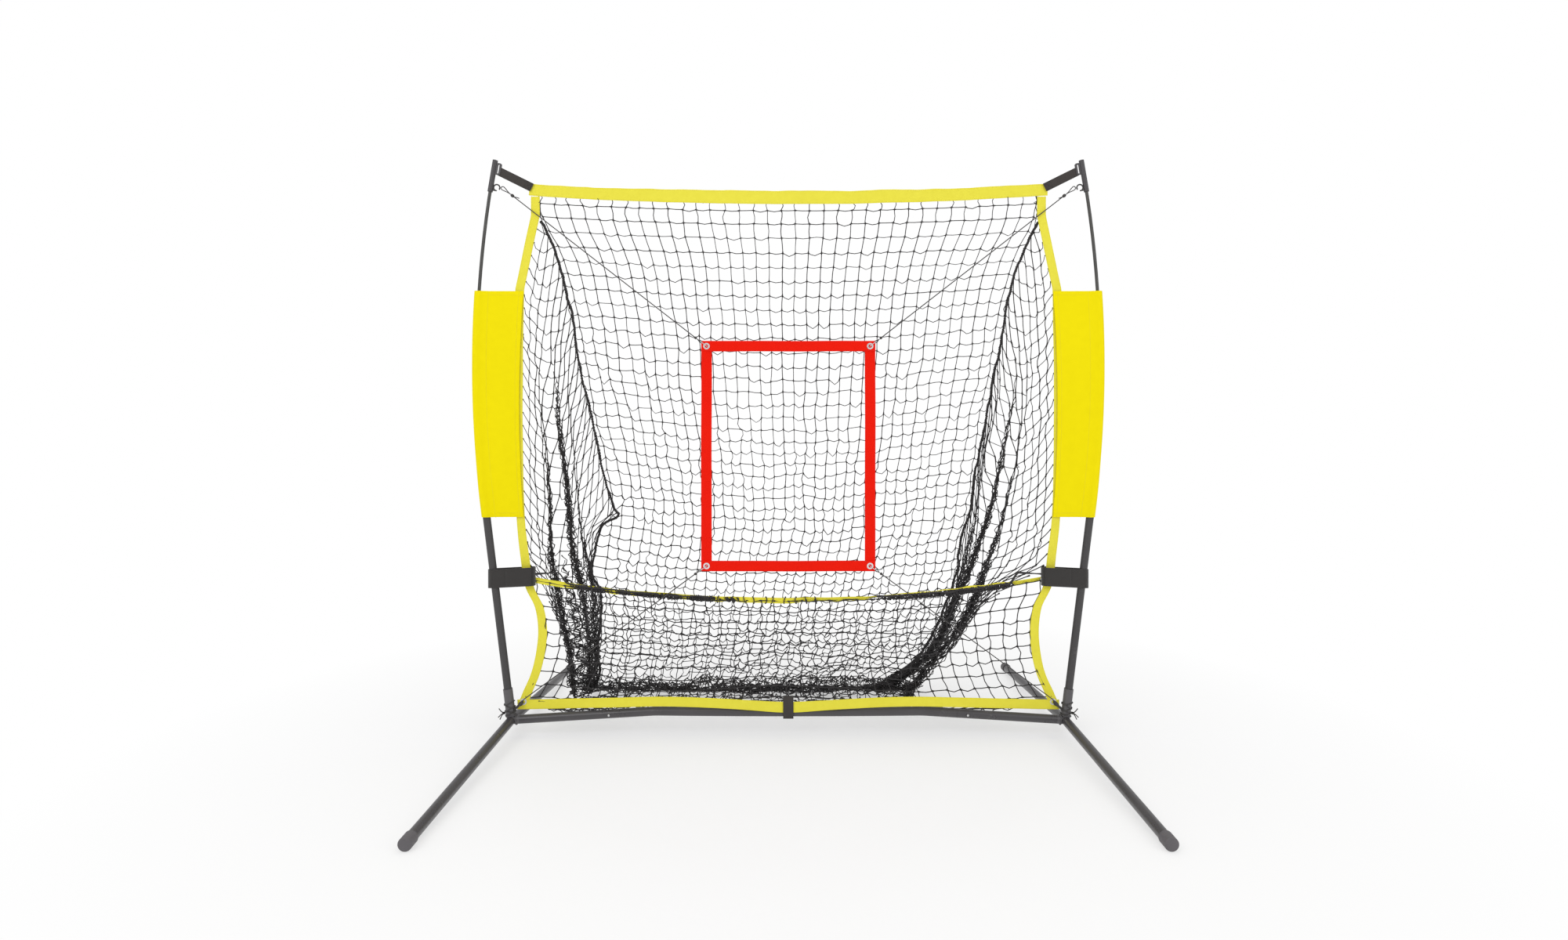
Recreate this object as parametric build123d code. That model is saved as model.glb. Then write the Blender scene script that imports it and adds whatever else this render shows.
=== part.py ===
from build123d import *
from math import atan2, cos, degrees, radians, sin, tan
import os

# A quick-assembly pitching net. X runs across the opening, Y runs back into the net bag,
# Z is up, and the origin is on the ground midway between the two hubs.

os.makedirs("parts", exist_ok=True)

# Base
hub_x = 812.0
hub_z = 48.0
tube_radius = 12.7
tube_bore = 11.5
leg_reach = 700.0
leg_start = 15.0
foot_z = 15.2
cap_radius = 15.5
cap_length = 34.0
spigot_radius = 11.42
spigot_length = 95.0
spigot_bore = 9.4
slide_clearance = 1.0

# Crossbar
bend_x = 391.0
bend_z = 73.5
joint_x = 494.0
bar_sag = 4.0
bend_radius = 300.0
sag_radius = 28000.0
button_radius = 3.6
button_travel = 4.0
button_offset = 30.0
swage_length = 62.0
spring_thick = 0.8
spring_width = 6.0
spring_length = 30.0
spring_y = 4.0
hub_arm = 26.0
hub_arm_spigot = 85.0

# Side poles
pole_lean = 7.0
tip_lean = -10.3
pole_radius = 11.0
pole_top_z = 680.0
pole_foot_depth = 24.0
rod_radius = 4.75
rod_top_z = 1684.0
rod_overlap = 60.0
collar_radius = 12.6
collar_length = 22.0
collar_lip = 3.0
socket_radius = 13.4
socket_top = 92.0
tip_cap_radius = 7.4
tip_cap_length = 92.0
tip_cap_inset = 6.0
tip_cap_crown = 5.0
lug_length = 34.0
lug_width = 16.0
lug_thick = 6.0
lug_drop = 24.0
lug_offset = 13.0
lug_slot_length = 27.0
lug_slot_width = 5.0
wire_radius = 2.0
hook_radius = 9.0
hook_offset = (-19.5, 12.0)
hook_start = -80
hook_sweep = 300

# Fabric edges of the net, all in one plane just behind the poles
binding_y = 3.5
binding_thick = 1.6
sleeve_y = 0.6
sleeve_bottom = 643.0
sleeve_top = 1306.0
pocket_radius = 14.6
pocket_bore = 13.6
strap_thick = 2.0
loop_thick = 1.6
loop_corner = 12.0
side_strap_low = 440.0
side_strap_high = 495.0
side_strap_inner = 742.0
side_strap_outer = 880.0
side_strap_depth = 31.0
centre_strap_width = 30.0
centre_strap_depth = 32.0
centre_strap_top = 119.0
webbing_width = 25.0

# Strike zone target
target_width = 511.0
target_height = 676.0
target_z = 822.0
target_tape = 31.0
tape_thick = 1.8
grommet_radius = 9.5
grommet_bore = 5.0
grommet_inset = 15.5
hook_wire_radius = 1.1
hook_size = (26.0, 9.0)
hook_reach = 10.0
cord_gap = 24.5
cord_radius = 1.5

# Net bag
net_thick = 1.2
seam_radius = 4.0
stop_tape_width = 19.0


def round_section(radius, bore):
    return Circle(radius) - Circle(bore) if bore else Circle(radius)


def bar(start, end, radius, bore=0):
    """A straight round bar or tube between two points."""
    axis = Vector(*end) - Vector(*start)
    return extrude(Plane(origin=start, z_dir=axis) * round_section(radius, bore), amount=axis.length)


def plate(edges, y, thickness):
    """A flat piece of cloth whose outline lies in the XZ plane, its front face at y."""
    return Pos(0, y, 0) * extrude(make_face(Plane.XZ * edges), amount=thickness, dir=(0, 1, 0))


def mirrored(shape):
    return mirror(shape, about=Plane.YZ)


def save(name, shape):
    export_step(shape, os.path.join("parts", name + ".step"))


def save_pair(name, shape):
    save(name + "_right", shape)
    save(name + "_left", mirrored(shape))


# The pole leans out as far as the top of its tube, and its rod then bows back inwards on one arc.
def pole_point(height):
    return (hub_x + (height - hub_z) * tan(radians(pole_lean)), 0, height)


pole_direction = Vector(sin(radians(pole_lean)), 0, cos(radians(pole_lean)))
bow_start = pole_point(pole_top_z)
bow_radius = (rod_top_z - pole_top_z) / (sin(radians(pole_lean)) - sin(radians(tip_lean)))


def bow_point(angle, offset=0.0):
    """The point of the bow where it leans by angle, offset outwards by some millimetres."""
    lean, turn = radians(pole_lean), radians(angle)
    radius = bow_radius + offset
    return (bow_start[0] + radius * cos(turn) - bow_radius * cos(lean), 0,
            bow_start[2] + bow_radius * sin(lean) - radius * sin(turn))


def bow_angle(height):
    """The lean of the bow at a height."""
    rise = sin(radians(pole_lean)) - (height - bow_start[2]) / bow_radius
    return degrees(atan2(rise, (1 - rise * rise) ** 0.5))


def bow_arc(start_angle, end_angle, offset=0.0):
    middle = (start_angle + end_angle) / 2
    return ThreePointArc(*[bow_point(a, offset) for a in (start_angle, middle, end_angle)])


def bow_bar(start_angle, end_angle, radius, bore=0):
    path = bow_arc(start_angle, end_angle)
    return sweep(Plane(origin=path @ 0, z_dir=path % 0) * round_section(radius, bore), path=path)


# Base: two welded hubs, four plug-in legs with end caps, a crossbar in three lengths
def leg_point(side, distance):
    """A point on a leg's centre line; side is -1 for a front leg and 1 for a rear one."""
    return (hub_x, side * distance, hub_z - (hub_z - foot_z) * distance / leg_reach)


def crossbar_point(x):
    """The centre line of the side arm, from the hub up to the bend."""
    return (x, 0, bend_z + (hub_z - bend_z) * (x - bend_x) / (hub_x - bend_x))


def make_hub():
    body = bar(leg_point(-1, leg_start), leg_point(1, leg_start), tube_radius)
    for side in (-1, 1):
        root, tip = leg_point(side, leg_start - 6), leg_point(side, spigot_length)
        body += bar(root, tip, spigot_radius, spigot_bore)
    socket_end = Vector(hub_x, 0, hub_z) + pole_direction * socket_top
    socket = bar((hub_x, 0, hub_z), socket_end, socket_radius)
    body += socket
    body += bar(crossbar_point(hub_x), crossbar_point(hub_x - hub_arm), tube_radius)
    spigot_end = crossbar_point(hub_x - hub_arm_spigot)
    body += bar(crossbar_point(hub_x - hub_arm + 6), spigot_end, spigot_radius, spigot_bore)
    bore_start = Vector(hub_x, 0, hub_z) + pole_direction * (pole_foot_depth - 0.4)
    return body - bar(bore_start, socket_end + pole_direction * 5, pole_radius + 0.15)


def make_leg(side):
    return bar(leg_point(side, leg_start + slide_clearance), leg_point(side, leg_reach - 6),
               tube_radius + 0.3, tube_bore)


def make_cap(side):
    """A rubber end cap, pushed over the leg's end, with a flat where it stands."""
    inner = leg_point(side, leg_reach - cap_length)
    outer = leg_point(side, leg_reach)
    cap = bar(inner, outer, cap_radius)
    cap = fillet(cap.edges().filter_by(GeomType.CIRCLE).sort_by(Axis.Y)[0 if side < 0 else -1], 4)
    cap -= bar(inner, leg_point(side, leg_reach - 5.8), tube_radius + 0.32)
    ground = Pos(hub_x, side * leg_reach, -50) * Box(100, 200, 100)
    return cap - ground


def button_hole():
    """The hole that the snap button comes forward through."""
    x, y, z = crossbar_point(joint_x + button_offset)
    return bar((x, -20, z), (x, -4, z), button_radius + 0.25)


def make_crossbar_side():
    tube = bar(crossbar_point(hub_x - hub_arm - 0.2), crossbar_point(joint_x), tube_radius, tube_bore)
    return tube - button_hole()


def make_crossbar_middle():
    """A gently sagging middle with both ends bent down, each swaged to plug into a side arm."""
    right = [crossbar_point(joint_x - 0.4), (bend_x, 0, bend_z)]
    left = [(-x, y, z) for x, y, z in reversed(right)]
    radii = [bend_radius, sag_radius, bend_radius]
    path = FilletPolyline(*right, (0, 0, bend_z - bar_sag), *left, radius=radii)
    tube = sweep(Plane(origin=path @ 0, z_dir=path % 0) * round_section(tube_radius, tube_bore), path=path)
    neck = bar(crossbar_point(joint_x - 8), crossbar_point(joint_x - 0.4), tube_radius, spigot_bore)
    swage_end = crossbar_point(joint_x + swage_length)
    swage = bar(crossbar_point(joint_x - 1), swage_end, spigot_radius, spigot_bore)
    end = neck + swage - button_hole()
    return tube + end + mirrored(end)


def make_button():
    x, y, z = crossbar_point(joint_x + button_offset)
    pin = bar((x, -tube_radius - button_travel, z), (x, -7.0, z), button_radius)
    pin = fillet(pin.edges().sort_by(Axis.Y)[0], 2.2)
    return pin + bar((x, -8.0, z), (x, -7.0, z), button_radius + 0.6)


def make_spring():
    """A bent leaf inside the swaged end, behind the button."""
    x, y, z = crossbar_point(joint_x + button_offset)
    end = x + 6 + spring_length / 2
    leaf = Pos(x + 6, spring_y, z) * Box(spring_length, spring_thick, spring_width)
    fold = Pos(end, spring_y - 1.8, z) * Box(spring_thick, spring_y + 0.4, spring_width)
    return leaf + fold


save_pair("hub", make_hub())
for side, row in ((-1, "front"), (1, "rear")):
    save_pair("leg_" + row, make_leg(side))
    save_pair("foot_cap_" + row, make_cap(side))
save_pair("crossbar_arm", make_crossbar_side())
save("crossbar_middle", make_crossbar_middle())
save_pair("snap_button", make_button())
save("snap_springs", Compound(children=[make_spring(), mirrored(make_spring())]))

# Poles
tube_foot = Vector(hub_x, 0, hub_z) + pole_direction * pole_foot_depth
tube_head = Vector(*bow_start)
rod_foot = tube_head - pole_direction * rod_overlap
pole_tube = bar(tube_foot, tube_head, pole_radius) - bar(rod_foot, tube_head, rod_radius + 0.1)
save_pair("pole_tube", pole_tube)
collar_foot = tube_head - pole_direction * collar_length
collar = bar(collar_foot, tube_head, collar_radius, pole_radius + 0.05)
lip_foot, lip_head = tube_head + pole_direction * 0.1, tube_head + pole_direction * collar_lip
lip = bar(lip_foot, lip_head, collar_radius, rod_radius + 0.3)
save("pole_collars", Compound(children=[collar, lip, mirrored(collar), mirrored(lip)]))
cap_start_angle = bow_angle(rod_top_z - tip_cap_length + tip_cap_inset)
rod = bow_bar(pole_lean, bow_angle(rod_top_z - tip_cap_inset), rod_radius)
save_pair("pole_rod", rod + bar(rod_foot, tube_head, rod_radius))


def make_tip_cap():
    """A moulded cap over the rod's end, with a slotted lug for the corner strap."""
    base = Vector(*bow_point(cap_start_angle))
    top = Vector(*bow_point(bow_angle(rod_top_z + tip_cap_inset)))
    up = (top - base).normalized()
    cap = bar(base, top, tip_cap_radius, rod_radius + 0.5)
    cap += bar(top - up * tip_cap_crown, top, tip_cap_radius)
    inwards = Vector(-up.Z, 0, up.X)
    slot_centre = top - up * lug_drop + inwards * lug_offset
    plane = Plane(origin=slot_centre, x_dir=up, z_dir=(0, -1, 0))
    lug_outline = RectangleRounded(lug_length, lug_width, 4)
    slot_outline = RectangleRounded(lug_slot_length, lug_slot_width, 2)
    lug = extrude(plane * lug_outline, amount=lug_thick / 2, both=True)
    slot = extrude(plane * slot_outline, amount=lug_thick, both=True)
    core = bar(base, top - up * tip_cap_crown, rod_radius + 0.5)
    return cap + (lug - slot - core)


def make_tip_hook():
    """A bent wire: a shank from the cap's foot, then an open ring that the elastic cord drops into."""
    base = Vector(*bow_point(cap_start_angle))
    centre = (base.X + hook_offset[0], base.Z + hook_offset[1])
    ring = CenterArc(centre, hook_radius, hook_start, hook_sweep)
    ring = Plane.XZ * ring
    ring_wire = sweep(Plane(origin=ring @ 0, z_dir=ring % 0) * Circle(wire_radius), path=ring)
    shank = bar((base.X - tip_cap_radius + 0.2, 0, base.Z + 5), ring @ 0, wire_radius)
    return ring_wire + shank + Pos(ring @ 0) * Sphere(wire_radius)


save_pair("tip_cap", make_tip_cap())
save_pair("tip_hook", make_tip_hook())

# Fabric edges, outlined for the right side
binding_outer = [(757, 1583), (757, 1529), (803, 1312), (806, 972), (799, 638), (784, 494), (773, 436),
                 (745, 378), (736, 310), (742, 240), (757, 180), (786, 112)]
binding_inner = [(758, 112), (731, 180), (716, 240), (710, 310), (720, 378), (748, 436), (758, 494),
                 (775, 638), (781, 972), (777, 1312), (731, 1529), (731, 1583)]


def make_side_binding():
    outer, inner = binding_outer, binding_inner
    edges = Polyline(*outer[:3]) + Spline(*outer[2:]) + Line(outer[-1], inner[0])
    edges += Spline(*inner[:10]) + Polyline(*inner[9:]) + Line(inner[-1], outer[0])
    return plate(edges, binding_y, binding_thick)


def band(half, end_low, end_high, low, high):
    """A long tape across the opening, with bowed edges: heights at its ends and in the middle."""
    top = ThreePointArc((-half, end_high), (0, high), (half, end_high))
    bottom = ThreePointArc((half, end_low), (0, low), (-half, end_low))
    return top + Line((half, end_high), (half, end_low)) + bottom + Line((-half, end_low), (-half, end_high))


def make_sleeve():
    """The pocket round the pole, and the flat panel that joins it to the side binding."""
    low, high = bow_angle(sleeve_bottom + 37), bow_angle(sleeve_top)
    pocket = bow_bar(low, high, pocket_radius, pocket_bore)
    foot = Vector(*pole_point(sleeve_bottom))
    pocket += bar(foot, tube_head, pocket_radius, pocket_bore)
    inset = -(pocket_radius - 0.5)
    seam = [bow_point(a, inset) for a in (high, (high + low) / 2, pole_lean)]
    outer = ThreePointArc(*[(p[0], p[2]) for p in seam])
    foot_x = foot.X + inset
    inner = Spline((777, sleeve_bottom), (790, 972), (779, sleeve_top))
    edges = outer + Line(outer @ 1, (foot_x, sleeve_bottom)) + Line((foot_x, sleeve_bottom), inner @ 0)
    edges += inner + Line(inner @ 1, outer @ 0)
    return pocket + plate(edges, sleeve_y, strap_thick)


def strap_ring(length, width):
    """The section of a strap that is closed into a flat loop."""
    bore = RectangleRounded(length - 2 * loop_thick, width - 2 * loop_thick, loop_corner - loop_thick)
    return RectangleRounded(length, width, loop_corner) - bore


def make_side_strap():
    """A hook-and-loop strap, closed round the pole and the binding."""
    middle = (side_strap_outer + side_strap_inner) / 2
    ring = strap_ring(side_strap_outer - side_strap_inner, side_strap_depth)
    plane = Plane.XY.offset(side_strap_low)
    return extrude(plane * (Pos(middle, 0) * ring), amount=side_strap_high - side_strap_low)


def make_centre_strap():
    low, high = bend_z - bar_sag - 17, centre_strap_top
    ring = strap_ring(centre_strap_depth, high - low)
    plane = Plane.YZ.offset(-centre_strap_width / 2)
    return plane * Pos(0, (low + high) / 2) * extrude(ring, amount=centre_strap_width)


def make_corner_strap():
    """The webbing that pulls the net's top corner out to the pole's tip."""
    start, end = Vector(757, 0, 1612), Vector(838, 0, 1655)
    along = (end - start).normalized()
    across = Vector(-along.Z, 0, along.X) * (webbing_width / 2)
    corners = [(p.X, p.Z) for p in (start - across, end - across, end + across, start + across)]
    return plate(Polyline(*corners, close=True), binding_y - 2.2, strap_thick)


grommet_place = Vector(778, 0, 100)


def ring(place, y, radius, bore, depth):
    """A round eyelet, or the hole for one, whose axis runs through the cloth."""
    eyelet = extrude(round_section(radius, bore), amount=depth / 2, both=True)
    return Pos(place.X, y, place.Z) * Rot(90, 0, 0) * eyelet


def grommet(place, y, cloth):
    """A pressed eyelet: a barrel through the cloth and a flange on each face of it."""
    eyelet = ring(place, y, grommet_bore + 0.5, grommet_bore, cloth + 2)
    for side in (-1, 1):
        eyelet += ring(place, y + side * (cloth / 2 + 0.55), grommet_radius, grommet_bore, 1)
    return eyelet


def make_hem_tie():
    """The elastic loop between the hem's corner grommet and the hub's socket."""
    start = grommet_place + Vector(2, -5, 0)
    end = Vector(hub_x - 16, -5, 86)
    return bar(start, end, 3)


def make_hem():
    hem = plate(band(796, 82, 109, 88, 112), binding_y, binding_thick)
    for side in (-1, 1):
        place = Vector(side * grommet_place.X, 0, grommet_place.Z)
        hem -= ring(place, binding_y, grommet_bore + 0.6, 0, 20)
    return hem


save("top_binding", plate(band(762, 1587.5, 1621, 1563, 1602), binding_y, binding_thick))
save_pair("side_binding", make_side_binding())
save("bottom_hem", make_hem())
save_pair("side_sleeve", make_sleeve())
save_pair("side_strap", make_side_strap())
save("centre_strap", make_centre_strap())
save_pair("corner_strap", make_corner_strap())
save_pair("hem_tie", make_hem_tie())
hem_grommet = grommet(grommet_place, binding_y + binding_thick / 2, binding_thick)
save("hem_grommets", Compound(children=[hem_grommet, mirrored(hem_grommet)]))

# Net bag: each panel is a thin skin through level sections, given as (height, front edge, back edge)
# with x counted outwards. Below the straps the side panels leave the bindings and hang free.
right_levels = [(1500, (733, 9), (726, 34)), (1312, (768, 9), (680, 130)), (1100, (770, 9), (660, 205)),
                (821, (770, 9), (625, 297)), (638, (764, 9), (606, 342)), (494, (724, 26), (576, 376)),
                (319, (575, 155), (540, 398)), (150, (485, 235), (462, 430)), (34, (412, 310), (345, 455))]
left_levels = [(1500, (733, 9), (723, 34)), (1312, (768, 9), (682, 130)), (1100, (770, 9), (662, 210)),
               (821, (770, 9), (618, 297)), (638, (764, 9), (600, 340)), (494, (736, 26), (632, 372)),
               (319, (720, 145), (638, 394)), (150, (702, 250), (650, 412)), (34, (712, 325), (660, 435))]
back_levels = [(1560, (722, 7), (722, 7))]
back_levels += [(left[0], left[2], right[2]) for left, right in zip(left_levels, right_levels)]
back_levels += [(10, (648, 435), (338, 452))]
back_inset = 8.0
floor_levels = [(18, 92, 690, 690), (140, 44, 690, 600), (300, 16, 685, 440), (380, 3, 670, 376),
                (448, 3, 640, 330)]


def skin(sections):
    """A thin solid through quadrilateral sections, each a list of four points in one plane."""
    faces = [make_face(Polyline(*points, close=True)) for points in sections]
    return loft(faces, ruled=True)


def side_section(z, front, rear):
    run = Vector(front[0] - rear[0], front[1] - rear[1], 0)
    across = Vector(-run.Y, run.X, 0).normalized() * net_thick
    a, b = Vector(*front, z), Vector(*rear, z) + run.normalized() * 6
    return [a, b, b + across, a + across]


def back_section(z, left, right):
    ends = [(back_inset - left[0], left[1], z), (right[0] - back_inset, right[1], z)]
    return ends + [(x, y + net_thick, z) for x, y, z in reversed(ends)]


def floor_section(y, z, left, right):
    return [(-left, y, z), (right, y, z), (right, y, z + net_thick), (-left, y, z + net_thick)]


save("net_side_right", skin([side_section(*level) for level in right_levels]))
save("net_side_left", mirrored(skin([side_section(*level) for level in left_levels])))
save("net_back", skin([back_section(*level) for level in back_levels]))
save("net_floor", skin([floor_section(*level) for level in floor_levels]))


def make_seam_rope(levels):
    """The rope that gathers the side and back panels together, down to the ground."""
    points = [(rear[0] + 2, rear[1] + 2, z) for z, front, rear in levels]
    rope = Part() + [bar(a, b, seam_radius) for a, b in zip(points, points[1:])]
    rope += [Pos(*p) * Sphere(seam_radius) for p in points[1:-1]]
    return rope


save("seam_rope_right", make_seam_rope(right_levels))
save("seam_rope_left", mirrored(make_seam_rope(left_levels)))

# Ball stop: the low front panel that keeps fallen balls in the bag, with its tape and draw cord
stop_half = 728.0
stop_end_z = 452.0
stop_middle_z = 386.0
stop_y = 12.0
stop_depth = 46.0


def stop_top(t):
    """A point of the ball stop's top edge, t from -1 at the left binding to 1 at the right one."""
    rise = (stop_end_z - stop_middle_z) * t * t
    return (t * stop_half, stop_y + stop_depth * (1 - t * t), stop_middle_z + rise)


def stop_section(t, low, high):
    """A slice of the stop between two drops below its top edge; a None drop runs down to the hem."""
    x, y, z = stop_top(t)
    foot = 128 if low is None else z - low
    return [(x, y, foot), (x, y, z - high), (x, y + net_thick, z - high), (x, y + net_thick, foot)]


stop_steps = [step / 4 for step in range(-4, 5)]
narrow = [t * 0.94 for t in stop_steps]
save("net_ball_stop", skin([stop_section(t, None, stop_tape_width + 1) for t in narrow]))
save("stop_tape", skin([stop_section(t, stop_tape_width, 0) for t in stop_steps]))
cord_points = [Vector(*stop_top(t)) + Vector(0, -3, -6) for t in stop_steps]
stop_cord = Part() + [bar(a, b, 2.5) for a, b in zip(cord_points, cord_points[1:])]
save("stop_cord", stop_cord + [Pos(*p) * Sphere(2.5) for p in cord_points[1:-1]])

# Target: a frame of four sewn webbings, hung by its grommets from four elastic cords
half_width, half_height = target_width / 2, target_height / 2


def webbing(centre_x, centre_z, width, height):
    strip = Pos(centre_x, 0, centre_z) * Box(width, tape_thick, height)
    for side in (-1, 1):
        for end in (-1, 1):
            x = side * (half_width - grommet_inset)
            z = target_z + end * (half_height - grommet_inset)
            strip -= ring(Vector(x, 0, z), 0, grommet_bore + 0.6, 0, 20)
    return strip


middle_inset = half_height - target_tape / 2
save("target_tape_top", webbing(0, target_z + middle_inset, target_width, target_tape))
save("target_tape_bottom", webbing(0, target_z - middle_inset, target_width, target_tape))
upright = webbing(half_width - target_tape / 2, target_z, target_tape, target_height - 2 * target_tape)
save("target_tape_right", upright)
save("target_tape_left", mirrored(upright))

corners = [(side, end) for side in (-1, 1) for end in (-1, 1)]


def grommet_centre(side, end):
    return Vector(side * (half_width - grommet_inset), 0, target_z + end * (half_height - grommet_inset))


def cord_direction(side, end):
    """The way the cord pulls a grommet: up to the pole's tip, or down to the hub."""
    pull = Vector(side * 843, 0, 1612) if end > 0 else Vector(side * 783, 0, 104)
    return (pull - grommet_centre(side, end)).normalized()


def make_hook(side, end):
    """A wire S-hook: a long eye through the grommet, and the cord's loop on its other end."""
    reach = cord_direction(side, end)
    start = grommet_centre(side, end)
    x_dir = Vector(0, -1, 0)
    plane = Plane(origin=start + reach * hook_reach, x_dir=reach, z_dir=reach.cross(x_dir))
    path = Wire((plane * SlotOverall(*hook_size)).edges())
    return sweep(Plane(origin=path @ 0, z_dir=path % 0) * Circle(hook_wire_radius), path=path)


save("target_grommets", Compound(children=[grommet(grommet_centre(*c), 0, tape_thick) for c in corners]))
save("target_hooks", Compound(children=[make_hook(*c) for c in corners]))

upper_start = grommet_centre(1, 1) + cord_direction(1, 1) * cord_gap
lower_start = grommet_centre(1, -1) + cord_direction(1, -1) * cord_gap
save_pair("elastic_upper", bar(upper_start, Vector(828, 0, 1600), cord_radius))
save_pair("elastic_lower", bar(lower_start, Vector(788, 0, 100.4), cord_radius))
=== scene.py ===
import math
import random

import bmesh
import bpy
from mathutils import Matrix, Vector, noise


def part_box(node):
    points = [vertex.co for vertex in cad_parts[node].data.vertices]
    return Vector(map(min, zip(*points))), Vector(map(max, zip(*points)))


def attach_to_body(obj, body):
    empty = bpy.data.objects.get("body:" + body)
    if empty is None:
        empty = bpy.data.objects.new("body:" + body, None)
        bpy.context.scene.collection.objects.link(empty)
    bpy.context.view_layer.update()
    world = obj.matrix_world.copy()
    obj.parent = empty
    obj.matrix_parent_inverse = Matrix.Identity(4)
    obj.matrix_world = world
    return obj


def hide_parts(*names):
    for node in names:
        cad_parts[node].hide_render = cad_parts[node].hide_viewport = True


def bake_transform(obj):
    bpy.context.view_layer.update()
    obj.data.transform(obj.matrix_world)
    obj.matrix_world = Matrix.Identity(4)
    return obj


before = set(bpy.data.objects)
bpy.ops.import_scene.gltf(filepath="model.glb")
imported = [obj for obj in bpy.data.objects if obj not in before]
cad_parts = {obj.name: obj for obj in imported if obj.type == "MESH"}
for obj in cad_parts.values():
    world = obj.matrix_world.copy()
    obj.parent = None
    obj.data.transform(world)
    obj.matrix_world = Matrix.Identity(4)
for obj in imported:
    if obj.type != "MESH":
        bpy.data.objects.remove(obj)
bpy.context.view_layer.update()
random.seed(7)
scene = bpy.context.scene
sides = {"left": -1, "right": 1}



def mix(a, b, t):
    return a + (b - a) * t


def smoothStep(t):
    t = min(max(t, 0.0), 1.0)
    return t * t * (3 - 2 * t)


def wobble(x, y, z=0.0):  # smooth repeatable noise between about -1 and 1
    return noise.noise(Vector((x, y, z)))


def along(points, t):  # a point on a smooth curve through given points, t from 0 to 1
    spot = min(max(t, 0.0), 1.0) * (len(points) - 1)
    i = min(int(spot), len(points) - 2)
    f = spot - i
    p0, p1 = points[max(i - 1, 0)], points[i]
    p2, p3 = points[i + 1], points[min(i + 2, len(points) - 1)]
    return 0.5 * (p1 * 2 + (p2 - p0) * f + (p0 * 2 - p1 * 5 + p2 * 4 - p3) * f * f
                  + (p1 * 3 - p0 - p2 * 3 + p3) * f ** 3)


def atHeight(points, z):  # the point of a falling curve that has height z
    for a, b in zip(points, points[1:]):
        if a.z >= z >= b.z:
            return a.lerp(b, (a.z - z) / max(a.z - b.z, 1e-9))
    return points[0].copy() if z > points[0].z else points[-1].copy()


def finishMesh(name, bm, material, smooth=True, crease=None):
    mesh = bpy.data.meshes.new(name)
    bm.to_mesh(mesh)
    bm.free()
    mesh.materials.append(material)
    if smooth:
        mesh.shade_smooth()
    piece = bpy.data.objects.new(name, mesh)
    scene.collection.objects.link(piece)
    if crease:
        mesh.set_sharp_from_angle(angle=math.radians(crease))
    return piece


def attach(piece, body,
           node=None):  # the body it rides on, and the plain node it stands for
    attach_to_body(piece, body)
    if node:
        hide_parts(node)


def twine(name, strands, radius, material, resolution=1):  # many thin round strands in one mesh
    curve = bpy.data.curves.new(name, "CURVE")
    curve.dimensions = "3D"
    curve.bevel_depth = radius
    curve.bevel_resolution = resolution
    curve.use_fill_caps = True
    for strand in strands:
        spline = curve.splines.new("POLY")
        spline.points.add(len(strand) - 1)
        for point, (place, thick) in zip(spline.points, strand):
            point.co = (*place, 1)
            point.radius = thick
    holder = bpy.data.objects.new(name + "Curve", curve)
    scene.collection.objects.link(holder)
    bpy.context.view_layer.update()
    mesh = bpy.data.meshes.new_from_object(holder.evaluated_get(bpy.context.evaluated_depsgraph_get()))
    bpy.data.objects.remove(holder)
    bpy.data.curves.remove(curve)
    mesh.name = name
    mesh.materials.clear()
    mesh.materials.append(material)
    mesh.shade_smooth()
    piece = bpy.data.objects.new(name, mesh)
    scene.collection.objects.link(piece)
    return piece


def drape(bm, rows, stations):  # a grid laid over rows of points, with a map in metres across and along
    uv = bm.loops.layers.uv.verify()
    across = len(rows[0])
    made = bmesh.ops.create_grid(bm, x_segments=across - 1, y_segments=len(rows) - 1, size=1)["verts"]
    spots = {}
    for i, row in enumerate(rows):
        wide = 0.0
        for j, place in enumerate(row):
            wide += (place - row[j - 1]).length if j else 0.0
            vert = made[i * across + j]
            vert.co = place
            spots[vert] = (wide, stations[i])
    for face in {face for vert in made for face in vert.link_faces}:
        for loop in face.loops:
            loop[uv].uv = spots[loop.vert]
    bmesh.ops.remove_doubles(bm, verts=made, dist=1e-6)
    return [vert for vert in made if vert.is_valid]


def tube(bm, path, radius, sideCount=10):  # a round tube along points
    rings, stations = [], []
    lift = Vector((0.13, 0.96, 0.24)).normalized()
    for i, place in enumerate(path):
        ahead = (path[min(i + 1, len(path) - 1)] - path[max(i - 1, 0)]).normalized()
        lift = (lift - ahead * lift.dot(ahead)).normalized()
        side = ahead.cross(lift)
        thick = radius(i / (len(path) - 1)) if callable(radius) else radius
        turns = [2 * math.pi * k / sideCount for k in range(sideCount)]
        ring = [place + (lift * math.cos(turn) + side * math.sin(turn)) * thick for turn in turns]
        rings.append(ring + [ring[0].copy()])
        stations.append(stations[-1] + (place - path[i - 1]).length if i else 0.0)
    made = drape(bm, rings, stations)
    openEdges = {edge for vert in made for edge in vert.link_edges if edge.is_boundary}
    bmesh.ops.holes_fill(bm, edges=list(openEdges), sides=0)
    bmesh.ops.recalc_face_normals(bm, faces=bm.faces)


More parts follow.
